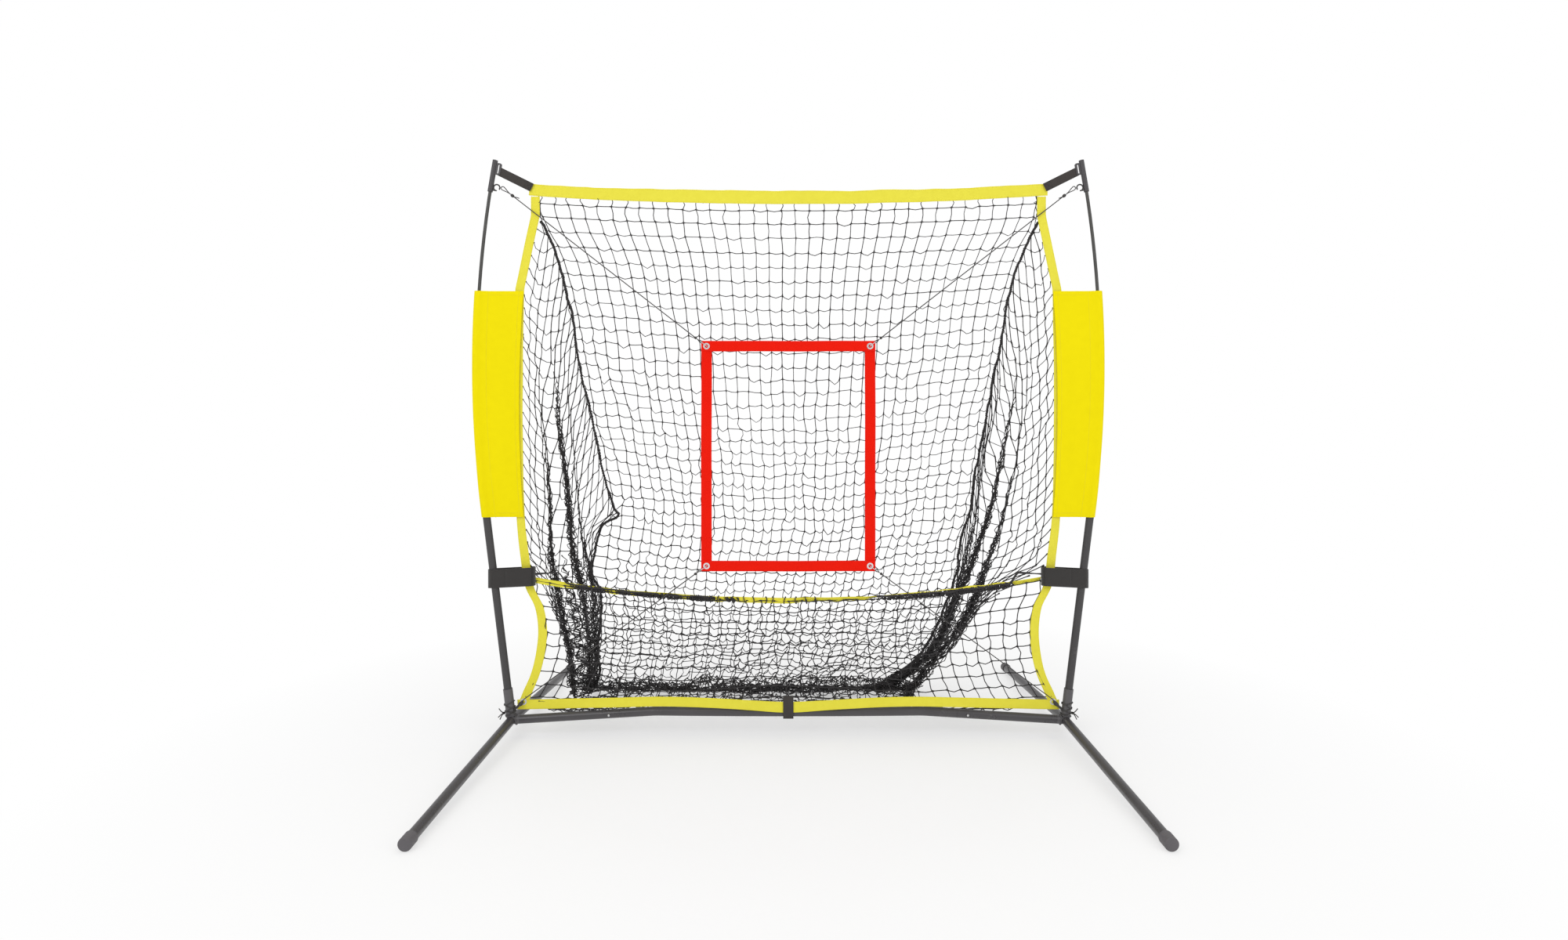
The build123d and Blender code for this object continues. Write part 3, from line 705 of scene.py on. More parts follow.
def backRow(i, z):
    columns = net["columns"]
    left, right = atHeight(bag["left"]["backEdge"], z), atHeight(bag["right"]["backEdge"], z)
    low = smoothStep((1.50 - z) / 1.3)
    loose = smoothStep((1.45 - z) / 0.5)
    lowest = smoothStep((0.55 - z) / 0.5)
    row = []
    for j in range(columns):
        t = (j + 0.5) / columns
        middle = 1 - (2 * t - 1) ** 2
        place = left.lerp(right, t)
        place.z = z - (0.021 + 0.040 * loose * (1 - lowest)) * middle
        place.y += (0.006 + 0.055 * math.sin(math.pi * low)) * middle
        place.x += (0.0030 + 0.0070 * loose) * wobble(j * 0.55, i * 0.5, 2.2)
        place.x += (0.0020 + 0.0030 * lowest) * wobble(j * 1.9, i * 1.3, 0.3)
        place.z += (0.0015 + 0.0095 * loose) * wobble(j * 0.8, i * 0.35, 8.4)
        place.z += 0.010 * lowest * wobble(j * 0.37, i * 0.9, 3.4)
        place.y += (0.030 * loose + 0.05 * lowest) * wobble(j * 0.23, i * 0.17, 4.1)
        place.z = max(place.z, net["ground"])
        row.append(place)
    ends = []
    for name in sides:
        seam = bag[name]["seam"]
        end = atHeight(seam, z + 0.004) if z < 1.505 else Vector((bindingEdge(name, z), net["plane"],
                                                                  z + 0.004))
        ends.append(end)
    return [ends[0]] + row + [ends[1]]


backHeightList = backHeights()
backKnots = [backRow(i, z) for i, z in enumerate(backHeightList)]
bandRow = [Vector((p.x + 0.003 * wobble(j, 3.3), 0.0078, 1.572 + 0.0245 * (p.x / 0.762) ** 2))
           for j, p in enumerate(backKnots[0])]
makeNetting("netBack", squareStrands([bandRow] + backKnots), "net_back")
print("net back made")

# net on the ground: slack netting heaped at the foot of the back, then forward to the hem


pile = {"heapRows": 15, "runRows": 8, "left": -0.70, "right": 0.42, "depth": 0.325, "height": 0.058}


def groundNet():
    heapRows, runRows = pile["heapRows"], pile["runRows"]
    rows = []
    last = len(backKnots[-1]) - 1
    for i in range(1, heapRows + 1):
        row = []
        f = i / heapRows
        for j in range(last + 1):
            t = j / last
            base = backKnots[-1][j]
            x = mix(base.x, mix(pile["left"], pile["right"], t), f) + 0.022 * wobble(j * 0.6, i * 0.8, 1.1)
            fold = math.sin(f * math.pi * 6 + 2.6 * wobble(j * 0.2, 3.0))
            y = mix(base.y + 0.01, pile["depth"], f) + 0.034 * fold + 0.035 * wobble(j * 0.31, i * 0.4, 6.0)
            heap = math.sin(math.pi * (0.10 + 0.80 * f))
            z = 0.006 + pile["height"] * heap * max(0.5 + 0.9 * wobble(j * 0.33, i * 0.7, 2.0), 0.0)
            row.append(Vector((x, y, z)))
        rows.append(row)
    for i in range(1, runRows + 1):
        row = []
        f = i / runRows
        for j in range(last + 1):
            t = j / last
            x = mix(mix(pile["left"], pile["right"], t), mix(-0.735, 0.735, t),
                    smoothStep(f)) + 0.006 * wobble(j * 0.7, i * 0.9, 5.5)
            y = mix(pile["depth"], 0.008, f) + 0.008 * wobble(j * 0.5, i * 0.7, 1.6)
            z = 0.004 + 0.098 * f ** 2.4 + 0.014 * (1 - f) * (0.5 + 0.5 * wobble(j * 0.4, i * 0.5, 7.7))
            row.append(Vector((x, y, z)))
        rows.append(row)
    strands = squareStrands([backKnots[-1]] + rows)
    foot = [Vector(p) for p in ((-.715, .37, .012), (-.60, .39, .022), (-.45, .375, .026), (-.30, .39, .022),
                                (-.15, .38, .024), (0, .395, .022), (.15, .385, .026), (.28, .39, .028),
                                (.38, .37, .030), (.42, .36, .040))]
    strands += bundle(foot, 0.0, 1.0, 15, 0.022, 3.3)
    return makeNetting("netFloor", strands, "net_floor")


groundNet()

# net sides: square mesh hung on its side, sagging between the binding and the seam


def gathered(share, guide, amount):  # several columns share each gather, the rest are spread between
    stops, places = [0.0], [0.0]
    widths = (0.085, 0.085, 0.05)
    for i, spot in enumerate(guide["shares"]):
        stops += [spot - widths[i], spot + widths[i]]
        places += [spot - 0.012, spot + 0.012]
    stops.append(1.0)
    places.append(1.0)
    for a, b, p, q in zip(stops, stops[1:], places, places[1:]):
        if share <= b:
            return mix(share, mix(p, q, (share - a) / (b - a)), amount)
    return 1.0


def sidePlace(side, share, z, wide, i, j):
    guide = bag[side]
    droop = 0.0088 * wide / net["mesh"] * (4 * share * (1 - share))
    droop *= 1 - 0.8 * smoothStep((0.30 - z) / 0.25)
    z = max(z - droop, 0.012)
    lines = [frontEdge(side, z)] + [atHeight(line,
                                             z) for line in guide["gathers"]] + [atHeight(guide["seam"], z)]
    spots = [0.0] + guide["shares"] + [1.0]
    spot = gathered(share, guide, smoothStep((1.34 - z) / 0.55))
    place = lines[-1].copy()
    for k in range(len(spots) - 1):
        if spot <= spots[k + 1]:
            place = lines[k].lerp(lines[k + 1], (spot - spots[k]) / (spots[k + 1] - spots[k]))
            break
    if 0 < share < 1:
        loose = smoothStep((1.46 - z) / 0.5)
        place.x += 0.0060 * loose * wobble(j * 1.7, i * 0.8, sides[side] * 3)
        place.y += 0.026 * loose * wobble(j * 1.3, i * 0.5, sides[side] * 6)
        place.z = max(place.z + 0.008 * loose * wobble(j * 0.9, i * 0.9, sides[side]), net["ground"])
    return place


def sideNet(side):
    guide = bag[side]
    heights, z = [], 1.490
    while z > 0.03:
        heights.append(z)
        z -= 0.0385 - 0.0110 * smoothStep((0.75 - z) / 0.5)
    rows, columns = [], {}
    wide = 0.0
    for i, z in enumerate(heights):
        reach = (atHeight(guide["seam"], z) - frontEdge(side, z)).length
        slack = mix(1.55, guide["slack"], smoothStep((1.40 - z) / 0.6))
        wide = max(reach * slack, wide)
        count = int(wide / net["mesh"])
        row = []
        for j in range(count + 1):
            knot = sidePlace(side, j * net["mesh"] / wide, z, wide, i, j)
            if j not in columns:
                columns[j] = [atHeight(guide["seam"], z + 0.03)]
            columns[j].append(knot)
            row.append(knot)
        row.append(atHeight(guide["seam"], z - 0.002))
        rows.append(row)
    strands = [strandThrough(row, net["mesh"], Vector((0, 0, -0.6)), i * 4.1) for i, row in enumerate(rows)]
    strands += [strandThrough(column, net["mesh"], Vector((0, 0, 0)), 90 + j * 3.3)
                for j, column in columns.items() if j]
    lines = list(guide["gathers"])
    crush = [(0, 0.36, 0.985, 10, 0.013), (1, 0.24, 0.985, 13, 0.014), (2, 0.50, 0.985, 8, 0.013),
             (3, 0.62, 0.985, 9, 0.020)]
    if side == "right":
        crush = [(0, 0.34, 0.99, 13, 0.017), (1, 0.16, 0.99, 16, 0.018), (2, 0.42, 0.98, 8, 0.014)]
    else:
        lines.append([a.lerp(b, 0.5) for a, b in zip(lines[0], lines[1])])
    for line, start, end, count, spread in crush:
        strands += bundle(lines[line], start, end, count, spread, line * 2.7 + sides[side])
    makeNetting("netSide" + side.capitalize(), strands, "net_side_" + side)


for side in sides:
    sideNet(side)
print("net sides made")



rope = {"radius": 0.0040, "pitch": 0.022, "spacing": 0.005, "shake": 0.005}


def laidRope(name, path, node):  # three strands twisted together, a little uneven
    radius, pitch = rope["radius"], rope["pitch"]
    bm = bmesh.new()
    frames = []
    for i, place in enumerate(path):
        ahead = (path[min(i + 1, len(path) - 1)] - path[max(i - 1, 0)]).normalized()
        side = ahead.cross(Vector((0, 1, 0.1))).normalized()
        frames.append((place, side, ahead.cross(side)))
    for strand in range(3):
        points, angle = [], strand * 2 * math.pi / 3
        for i, (place, side, up) in enumerate(frames):
            if i:
                angle += 2 * math.pi * (place - frames[i - 1][0]).length / pitch
            reach = radius * (0.55 + 0.20 * wobble(i * 0.21, strand * 4.0))
            points.append(place + (side * math.cos(angle) + up * math.sin(angle)) * reach)
        tube(bm, points, lambda t, s=strand: radius * (0.62 + 0.16 * wobble(t * 60, s * 3.0)), 6)
    piece = finishMesh(name, bm, mat["rope"])
    attach(piece, "frame", node)


def ropePath(points):
    spacing, shake = rope["spacing"], rope["shake"]
    path, total = [], sum((b - a).length for a, b in zip(points, points[1:]))
    count = int(total / spacing)
    for i in range(count + 1):
        place = along(points, i / count)
        place.x += shake * wobble(i * 0.09, 1.0, points[0].x) + 0.002 * wobble(i * 0.31, 2.0)
        place.z = max(place.z + shake * 0.5 * wobble(i * 0.07, 7.0), 0.006)
        path.append(place)
    return path


for side in sides:
    laidRope("seamRope" + side.capitalize(), ropePath(bag[side]["seam"]), "seam_rope_" + side)
print("seam ropes made")

# ball stop: a low front net with a yellow tape along its top and a cord laced through it

stop = {"half": 0.744, "endZ": 0.466, "middleZ": 0.396, "y": 0.008, "belly": 0.050, "tape": 0.017}


def stopTop(t):  # the ball stop's top edge, t from -1 to 1
    bow = abs(t) ** 2.3
    return Vector((stop["half"] * t, stop["y"] + stop["belly"] * (1 - t * t),
                   mix(stop["middleZ"], stop["endZ"], bow)))


def ballStop():
    columns, rowCount = net["columns"], 9
    rows = []
    for i in range(rowCount + 1):
        row = []
        f = i / rowCount
        for j in range(columns + 1):
            t = 2 * j / columns - 1
            top = stopTop(t)
            z = mix(top.z - stop["tape"] * 0.6, 0.104 + 0.010 * math.cos(2 * math.pi * t), f)
            edge = abs(bindingEdge("right", z)) * t
            x = mix(top.x, edge, smoothStep(f * 4))
            x += 0.016 * f ** 6 * (1 if t > 0 else -1) * min(abs(t) * 4, 1)
            y = mix(top.y, net["plane"], f) + 0.010 * math.sin(math.pi * f) * wobble(j * 0.35, i * 0.4, 3.3)
            loose = (1 - t * t) * math.sin(math.pi * f)
            x += (0.0015 + 0.009 * loose) * wobble(j * 0.6, i * 0.7, 1.2)
            z += (0.0015 + 0.011 * loose) * wobble(j * 0.7, i * 0.5, 6.2)
            row.append(Vector((x, y, z)))
        rows.append(row)
    makeNetting("ballStopNet", squareStrands(rows), "net_ball_stop")


ballStop()


def cover(t):  # how much laced netting hides the tape, 0 to 1
    left = smoothStep((t + 0.90) / 0.10) * (1 - smoothStep((t + 0.30) / 0.08))
    right = smoothStep((t - 0.28) / 0.25) * (1 - smoothStep((t - 0.86) / 0.05))
    gaps = 0.25 + 0.75 * smoothStep(0.5 + 1.6 * wobble(t * 17, 6.6)) if t < -0.2 else 1.0
    middle = 0.8 * math.exp(-((t + 0.235) / 0.035) ** 2)
    return max(left * gaps, right, middle)


def stopTape():
    rows, count = [], 220
    for i in range(count + 1):
        t = 2 * i / count - 1
        top = stopTop(t)
        roll = 0.3 * wobble(t * 4.0, 2.0) + 0.3 * wobble(t * 13, 5.0) + 0.9 * cover(t)
        roll += 0.75 * smoothStep((t - 0.0) / 0.1)
        row = []
        for k in range(5):
            drop = stop["tape"] * k / 4
            row.append(top + Vector((0, math.sin(roll) * drop * 0.8 + 0.001 * wobble(t * 30, k),
                                     -drop * math.cos(roll) + 0.0025 * wobble(t * 9, 4.4))))
        rows.append(row)
    piece = ribbon("stopTape", rows, 0.0012, mat["binding"])
    attach(piece, "frame", "stop_tape")


stopTape()


def stopCord():  # the draw cord from strap to strap, and the netting laced over the tape
    bm = bmesh.new()
    count = 620
    core = []
    for i in range(count + 1):
        t = 2 * i / count - 1
        top = stopTop(t)
        wander = 0.006 * wobble(t * 7, 1.0) + 0.004 * wobble(t * 21, 2.0)
        behind = 0.012 * smoothStep((t + 0.36) / 0.1) * (1 - smoothStep((t - 0.30) / 0.15))
        place = top + Vector((0, behind - 0.005 + 0.002 * wobble(t * 15, 3.0),
                              -0.003 - 0.3 * behind + wander))
        raised = smoothStep((abs(t) - 0.875) / 0.04)
        place.z = mix(place.z, 0.4785 - 0.003 * (abs(t) - 0.9) / 0.1, raised)
        core.append(place)
    tube(bm, core, lambda t: 0.0025 + 0.0013 * wobble(t * 45, 1.5), 7)
    piece = finishMesh("stopCord", bm, mat["rope"])
    attach(piece, "frame", "stop_cord")
    strands = []
    for k in range(9):
        strand = []
        for i in range(901):
            t = 2 * i / 900 - 1
            hide = cover(t)
            if hide < 0.12 + 0.10 * k or abs(t) > 0.93:
                if len(strand) > 3:
                    strands.append(strand)
                strand = []
                continue
            top = stopTop(t)
            angle = i * (0.55 + 0.05 * k) + k * 1.3 + 2.0 * wobble(i * 0.05, k * 2.0)
            size = (0.0065 + 0.004 * wobble(i * 0.04, k * 1.0)) * (0.7 + 0.5 * hide)
            strand.append((top + Vector((0.006 * wobble(i * 0.3, k * 5.0),
                                         size * 0.6 * math.cos(angle) + 0.001,
                                         -0.008 + size * math.sin(angle))), 1.1))
        if len(strand) > 3:
            strands.append(strand)
    for i in range(11):  # single loops over the bare tape
        t = -0.31 + 0.42 * i / 10 + 0.05 * wobble(i * 1.7, 4.0)
        top = stopTop(t)
        loop = []
        for k in range(13):
            angle = 2 * math.pi * k / 12
            loop.append((top + Vector((0.003 * math.sin(angle + i), 0.0035 * math.cos(angle),
                                       -0.0085 + 0.0105 * math.sin(angle))), 1.4))
        strands.append(loop)
    makeNetting("stopLacing", strands)


stopCord()
print("ball stop made")


binding = {"thick": 0.0022, "pucker": 0.0012, "inset": 0.0035}


def tapeRow(low, high, y, count, seed):  # the points across a tape, puckered by its stitching
    row = []
    for k in range(count + 1):
        f = k / count
        pucker = binding["pucker"] * math.sin(math.pi * f) * wobble(seed * 23, f * 2.0, 5.0)
        row.append(Vector((mix(low.x, high.x, f), y + pucker + binding["pucker"] * wobble(seed * 7, 3.0),
                           mix(low.z, high.z, f))))
    return row


def finishTape(name, rows, node, stitchInsets=((0.08, 1), (0.92, 1))):
    piece = ribbon(name, rows, binding["thick"], mat["binding"], bevel=0.0006)
    attach(piece, "frame", node)
    bm = bmesh.new()
    for share, _ in stitchInsets:
        for face, lift in ((-1, Vector((0, -1, 0))), (1, Vector((0, 1, 0)))):
            line = []
            for row in rows:
                spot = share * (len(row) - 1)
                k = min(int(spot), len(row) - 2)
                line.append(row[k].lerp(row[k + 1],
                                        spot - k) + Vector((0, face * binding["thick"] * 0.52, 0)))
            stitchRow(bm, line, lift=lift)
    thread = finishMesh(name + "Stitches", bm, mat["yellowThread"])
    attach(thread, "frame")


def topBinding():
    rows, count = [], 150
    for i in range(count + 1):
        t = 2 * i / count - 1
        x = 0.762 * t
        ripple = 0.0016 * wobble(t * 6, 0.5) + 0.0008 * wobble(t * 22, 1.5)
        low = Vector((x, 0, 1.563 + 0.0245 * t * t + ripple * 0.7))
        high = Vector((x, 0, 1.602 + 0.019 * t * t + ripple * 1.6))
        rows.append(tapeRow(low, high, 0.0043, 8, t))
    finishTape("topBinding", rows, "top_binding")


def sideBinding(side):
    rows, count = [], 170
    for i in range(count + 1):
        z = mix(1.585, 0.100, i / count)
        ripple = 0.0012 * wobble(z * 8, sides[side])
        inner = Vector((bindingEdge(side, z) + ripple, 0, z))
        outer = Vector((bindingEdge(side, z, outer=True) + ripple, 0, z))
        rows.append(tapeRow(inner, outer, 0.0052, 6, z))
    finishTape("sideBinding" + side.capitalize(), rows, "side_binding_" + side)


def bottomHem():
    rows, count = [], 150
    for i in range(count + 1):
        t = 2 * i / count - 1
        x = 0.796 * t
        arch = 0.5 - 0.5 * math.cos(2 * math.pi * abs(t) ** 0.9)
        dip = math.exp(-(t / 0.10) ** 2)
        low = Vector((x, 0, 0.0775 + 0.014 * arch - 0.004 * dip))
        high = Vector((x, 0, 0.1060 + 0.014 * arch - 0.001 * dip))
        forward = -0.0185 * (1 - smoothStep((abs(t) - 0.55) / 0.35))
        rows.append(tapeRow(low, high, 0.0040 + forward, 7, t))
    finishTape("bottomHem", rows, "bottom_hem")


topBinding()
for side in sides:
    sideBinding(side)
bottomHem()
print("bindings made")

# side sleeves: a pocket round the pole and a flat double panel sewn to the binding

pole = {"hubX": 0.812, "hubZ": 0.048, "lean": 7.0, "headZ": 0.680, "tipLean": -10.3, "tipZ": 1.684}
pole["headX"] = pole["hubX"] + (pole["headZ"] - pole["hubZ"]) * math.tan(math.radians(pole["lean"]))
pole["bow"] = (pole["tipZ"] - pole["headZ"]) / (math.sin(math.radians(pole["lean"]))
                                                - math.sin(math.radians(pole["tipLean"])))


def poleX(z):  # the pole's centre line, straight below its head and an arc above
    if z <= pole["headZ"]:
        return pole["hubX"] + (z - pole["hubZ"]) * math.tan(math.radians(pole["lean"]))
    rise = math.sin(math.radians(pole["lean"])) - (z - pole["headZ"]) / pole["bow"]
    return pole["headX"] + pole["bow"] * (math.sqrt(1 - rise * rise) - math.cos(math.radians(pole["lean"])))


sleeve = {"low": 0.643, "high": 1.306, "pocket": 0.0136, "thick": 0.0009, "steps": 46}


def sideSleeve(side):
    sign = sides[side]
    rows = []
    for i in range(sleeve["steps"] + 1):
        z = mix(sleeve["low"], sleeve["high"], i / sleeve["steps"])
        centre = poleX(z)
        radius = sleeve["pocket"] - 0.0006 * smoothStep((z - 0.70) / 0.1)
        deep = radius * (1.0 - 0.25 * smoothStep((z - 0.72) / 0.12))
        middle = 1 - (2 * (z - sleeve["low"]) / (sleeve["high"] - sleeve["low"]) - 1) ** 2
        inner = mix(0.777, 0.790, middle) + 0.0010 * wobble(z * 14, sign)
        row, flats = [], 9
        flatStart = centre - radius * 1.25
        for k in range(flats):  # front layer, from the binding out to the pocket
            f = k / flats
            ripple = 0.0011 * math.sin(math.pi * f) * wobble(z * 9, f * 3, sign * 2) - 0.0010
            row.append(Vector((sign * mix(inner, flatStart, f), ripple - 0.0012 * f, z)))
        for k in range(13):  # round the pole
            angle = math.radians(-140 + 280 * k / 12)
            row.append(Vector((sign * (centre + radius * math.cos(angle)), deep * math.sin(angle), z)))
        for k in range(flats, -1, -1):  # back layer
            f = k / flats
            ripple = 0.0011 * math.sin(math.pi * f) * wobble(z * 9, f * 3, sign * 2) + 0.0012
            row.append(Vector((sign * mix(inner, flatStart, f), ripple + 0.0012 * f, z)))
        rows.append(row)
    piece = ribbon("sideSleeve" + side.capitalize(), rows, sleeve["thick"], mat["sleeve"], bevel=0.0003)
    attach(piece, "frame", "side_sleeve_" + side)
    bm = bmesh.new()
    for face in (-1, 1):
        lift = Vector((0, face, 0))
        for line in (8, 1):  # beside the pocket, and along the binding
            index = line if face < 0 else len(rows[0]) - 1 - line
            stitchRow(bm, [row[index] + lift * 0.0007 for row in rows], lift=lift)
        for end in (0, -1):  # the folded ends
            shift = Vector((0, 0, 0.012 if end == 0 else -0.012))
            layer = rows[end][:9] if face < 0 else rows[end][-10:]
            stitchRow(bm, [p + lift * 0.0007 + shift for p in layer], lift=lift)
    thread = finishMesh("sleeveStitches" + side.capitalize(), bm, mat["yellowThread"])
    attach(thread, "frame")


for side in sides:
    sideSleeve(side)
print("sleeves made")



def bandLoop(name, centre, width, halfLong, halfDeep, thick, material, node, tilt=0.0, lap=None,
             axis="Z"):
    # a strap closed into a flat loop; the loop's plane is level, or upright for the centre strap
    path, corner = [], min(halfLong, halfDeep) * 0.92
    quarter = 7
    for sx, sy, start in ((1, 1, 0), (-1, 1, 90), (-1, -1, 180), (1, -1, 270)):
        for k in range(quarter + 1):
            angle = math.radians(start + 90 * k / quarter)
            path.append((sx * (halfLong - corner) + corner * math.cos(angle),
                         sy * (halfDeep - corner) + corner * math.sin(angle)))
    path.append(path[0])
    rows = []
    for i, (a, b) in enumerate(path):
        row = []
        for k in range(7):
            w = (k / 6 - 0.5) * width
            bulge = 0.0006 * wobble(i * 0.5, k * 0.6)
            if axis == "Z":
                row.append(centre + Vector((a, b + bulge, w + a * tilt)))
            else:
                row.append(centre + Vector((w, b + bulge, a)))
        rows.append(row)
    piece = ribbon(name, rows, thick, mat[material], bevel=0.0005)
    attach(piece, "frame", node)
    if lap:
        start, end = lap
        rows = []
        for i in range(13):
            a = mix(start, end, i / 12)
            lift = -halfDeep - thick * (1.15 - 0.25 * smoothStep((i - 10) / 2))
            rows.append([centre + Vector((a, lift,
                                          (k / 6 - 0.5) * (width - 0.001) + a * tilt)) for k in range(7)])
        flap = ribbon(name + "Lap", rows, thick, mat[material], bevel=0.0005)
        attach(flap, "frame")


strap = {"height": 0.4665, "reach": 0.811, "width": 0.054, "halfLong": 0.068, "halfDeep": 0.0145,
         "thick": 0.0018, "tilt": 0.05, "lap": (-0.062, 0.014)}
for side, sign in sides.items():
    bandLoop("sideStrap" + side.capitalize(), Vector((sign * strap["reach"], 0, strap["height"])),
             strap["width"], strap["halfLong"], strap["halfDeep"], strap["thick"], "strap",
             "side_strap_" + side, tilt=-sign * strap["tilt"],
             lap=(sign * strap["lap"][0], sign * strap["lap"][1]))
bandLoop("centreStrap", Vector((0, -0.002, 0.0855)), 0.030, 0.032, 0.0155, 0.0016, "webbing",
         "centre_strap", axis="X")


def cornerStrap(side):  # doubled webbing from the net's corner, round the bar of the tip cap's lug
    sign = sides[side]
    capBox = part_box("tip_cap_" + side)
    lugX = (capBox[0][0] if sign > 0 else -capBox[1][0]) + 0.0022
    start, end = Vector((0.752, 0, 1.610)), Vector((lugX + 0.003, 0, 1.6565))
    ahead = (end - start).normalized()
    across = Vector((-ahead.z, 0, ahead.x))
    rows = []
    reach = (end - start).length
    for i in range(25):
        f = i / 24
        swell = 0.0020 + 0.0012 * math.sin(math.pi * f)
        rows.append((start + ahead * reach * f, -swell + 0.001))
    for k in range(1, 8):
        angle = math.radians(-90 + 180 * k / 8)
        rows.append((end + ahead * 0.0022 * math.cos(angle), 0.001 + 0.0022 * math.sin(angle)))
    for i in range(24, -1, -1):
        f = i / 24
        rows.append((start + ahead * reach * f, 0.0045 - 0.001 * f))
    lines = []
    for place, y in rows:
        line = []
        for k in range(9):
            spot = place + across * 0.0245 * (0.5 - k / 8)
            line.append(Vector((sign * spot.x, y + 0.0003 * wobble(place.x * 90, k), spot.z)))
        lines.append(line)
    piece = ribbon("cornerStrap" + side.capitalize(), lines, 0.0013, mat["webbing"], bevel=0.0004)
    attach(piece, "frame", "corner_strap_" + side)
    bm = bmesh.new()
    lift = Vector((0, -1, 0))
    corners = [(0.004, 0.010), (0.022, 0.010), (0.022, -0.010), (0.004, -0.010)]
    spots = [start + ahead * a + across * b for a, b in corners]
    spots = [Vector((sign * p.x, -0.0026, p.z)) for p in spots]
    for a, b in ((0, 1), (1, 2), (2, 3), (3, 0), (0, 2), (1, 3)):
        stitchRow(bm, [spots[a], spots[b]], pitch=0.0036, length=0.0028, lift=lift)
    thread = finishMesh("cornerStitches" + side.capitalize(), bm, mat["blackThread"])
    attach(thread, "frame")


for side in sides:
    cornerStrap(side)
print("straps made")


target = {"tape": 0.031, "thick": 0.0017, "inset": 0.0155}
low, high = Vector(targetBox[0]), Vector(targetBox[1])
tLeft, tRight = low.x, high.x
tLow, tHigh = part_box("target_tape_bottom")[0][2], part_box("target_tape_top")[1][2]


def targetTape(name, start, end, node, y):
    ahead = (end - start).normalized()
    across = Vector((-ahead.z, 0, ahead.x)) * target["tape"] / 2
    rows, count = [], 60
    for i in range(count + 1):
        f = i / count
        place = start.lerp(end, f)
        bow = 0.0012 * math.sin(math.pi * f) * wobble(f * 3, start.x * 4, start.z)
        row = []
        for k in range(7):
            g = 1 - 2 * k / 6
            row.append(place + across * g + Vector((bow, y + 0.0008 * wobble(f * 8, k * 0.4, start.z), bow)))
        rows.append(row)
    piece = ribbon(name, rows, target["thick"], mat["red"], bevel=0.0005)
    attach(piece, "target", node)
    bm = bmesh.new()
    for share in (0, 6):
        for face in (-1, 1):
            lift = Vector((0, face, 0))
            inward = 0.0022 * (1 if share else -1)
            line = [row[share] + across.normalized() * inward + lift * target["thick"] * 0.54 for row in rows]
            stitchRow(bm, line, lift=lift)
    for end, sign in ((rows[0], 1), (rows[-1], -1)):
        for off in (0.004, 0.027):
            line = [p + ahead * off * sign + Vector((0, -target["thick"] * 0.54, 0)) for p in end]
            stitchRow(bm, line, pitch=0.0036, length=0.0028)
    thread = finishMesh(name + "Stitches", bm, mat["redThread"])
    attach(thread, "target")


half = target["tape"] / 2
targetTape("targetTop", Vector((tLeft, 0, tHigh - half)), Vector((tRight, 0, tHigh - half)),
           "target_tape_top", -0.0005)
targetTape("targetBottom", Vector((tLeft, 0, tLow + half)), Vector((tRight, 0, tLow + half)),
           "target_tape_bottom",
           -0.0005)
targetTape("targetLeft", Vector((tLeft + half, 0, tLow + 0.003)), Vector((tLeft + half, 0, tHigh - 0.003)),
           "target_tape_left", 0.0013)
targetTape("targetRight", Vector((tRight - half, 0, tLow + 0.003)), Vector((tRight - half, 0, tHigh - 0.003)),
           "target_tape_right", 0.0013)
print("target made")

# elastic cords: stretched between the frame and the target, knotted at both ends

cord = {"radius": 0.0015, "loop": 0.038}


def straight(a, b, step=0.008):
    count = max(int((b - a).length / step), 2)
    return [a.lerp(b, i / count) for i in range(count + 1)]


def wrapKnot(bm, place, ahead, radius, turns=4, size=0.0042):  # a whipped knot: turns of cord round the line
    side = ahead.cross(Vector((0, 1, 0))).normalized()
    up = ahead.cross(side)
    points = []
    for i in range(turns * 12 + 1):
        f = i / (turns * 12)
        angle = 2 * math.pi * turns * f
        swell = size * (0.55 + 0.35 * math.sin(math.pi * f))
        around = side * math.cos(angle) + up * math.sin(angle)
        points.append(place + ahead * (f - 0.5) * turns * radius * 1.7 + around * swell)
    tube(bm, points, radius, 7)


def loopOver(bm, hook, ahead, radius, width=0.0055, length=0.034):  # an eye of cord round a hook's wire
    side = ahead.cross(Vector((0, 1, 0))).normalized()
    points = []
    for i in range(41):
        f = i / 40
        angle = math.pi * (2 * f - 1)
        drop = math.cos(angle / 2) ** 0.7
        swing = side * width * math.sin(angle) * (0.4 + 0.6 * drop)
        points.append(hook + ahead * (length * (1 - drop) - 0.003) + swing
                      + Vector((0, 0.0012 * math.sin(angle), 0)))
    tube(bm, points, radius, 7)


def elasticCord(name, frameEnd, targetEnd, node, tails):
    ahead = (targetEnd - frameEnd).normalized()
    bm = bmesh.new()
    start = frameEnd + ahead * cord["loop"]
    tube(bm, straight(start - ahead * 0.004, targetEnd - ahead * 0.013), cord["radius"], 8)
    wrapKnot(bm, targetEnd - ahead * 0.017, ahead, cord["radius"] * 0.8, turns=3, size=0.0034)
    loopOver(bm, targetEnd + ahead * 0.0005, -ahead, cord["radius"] * 0.85, width=0.0035, length=0.015)
    if tails:
        loopOver(bm, frameEnd, ahead, cord["radius"] * 0.9, length=cord["loop"] - 0.004)
        wrapKnot(bm, start, ahead, cord["radius"] * 0.85)
        tail = start + ahead * 0.006
        tube(bm, [tail, tail + ahead * 0.008 + Vector((0.001, -0.003, 0.003)),
                  tail + ahead * 0.018 + Vector((0.002, -0.004, 0.006))], cord["radius"] * 0.9, 7)
    piece = finishMesh(name, bm, mat["elastic"])
    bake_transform(piece)
    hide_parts(node)


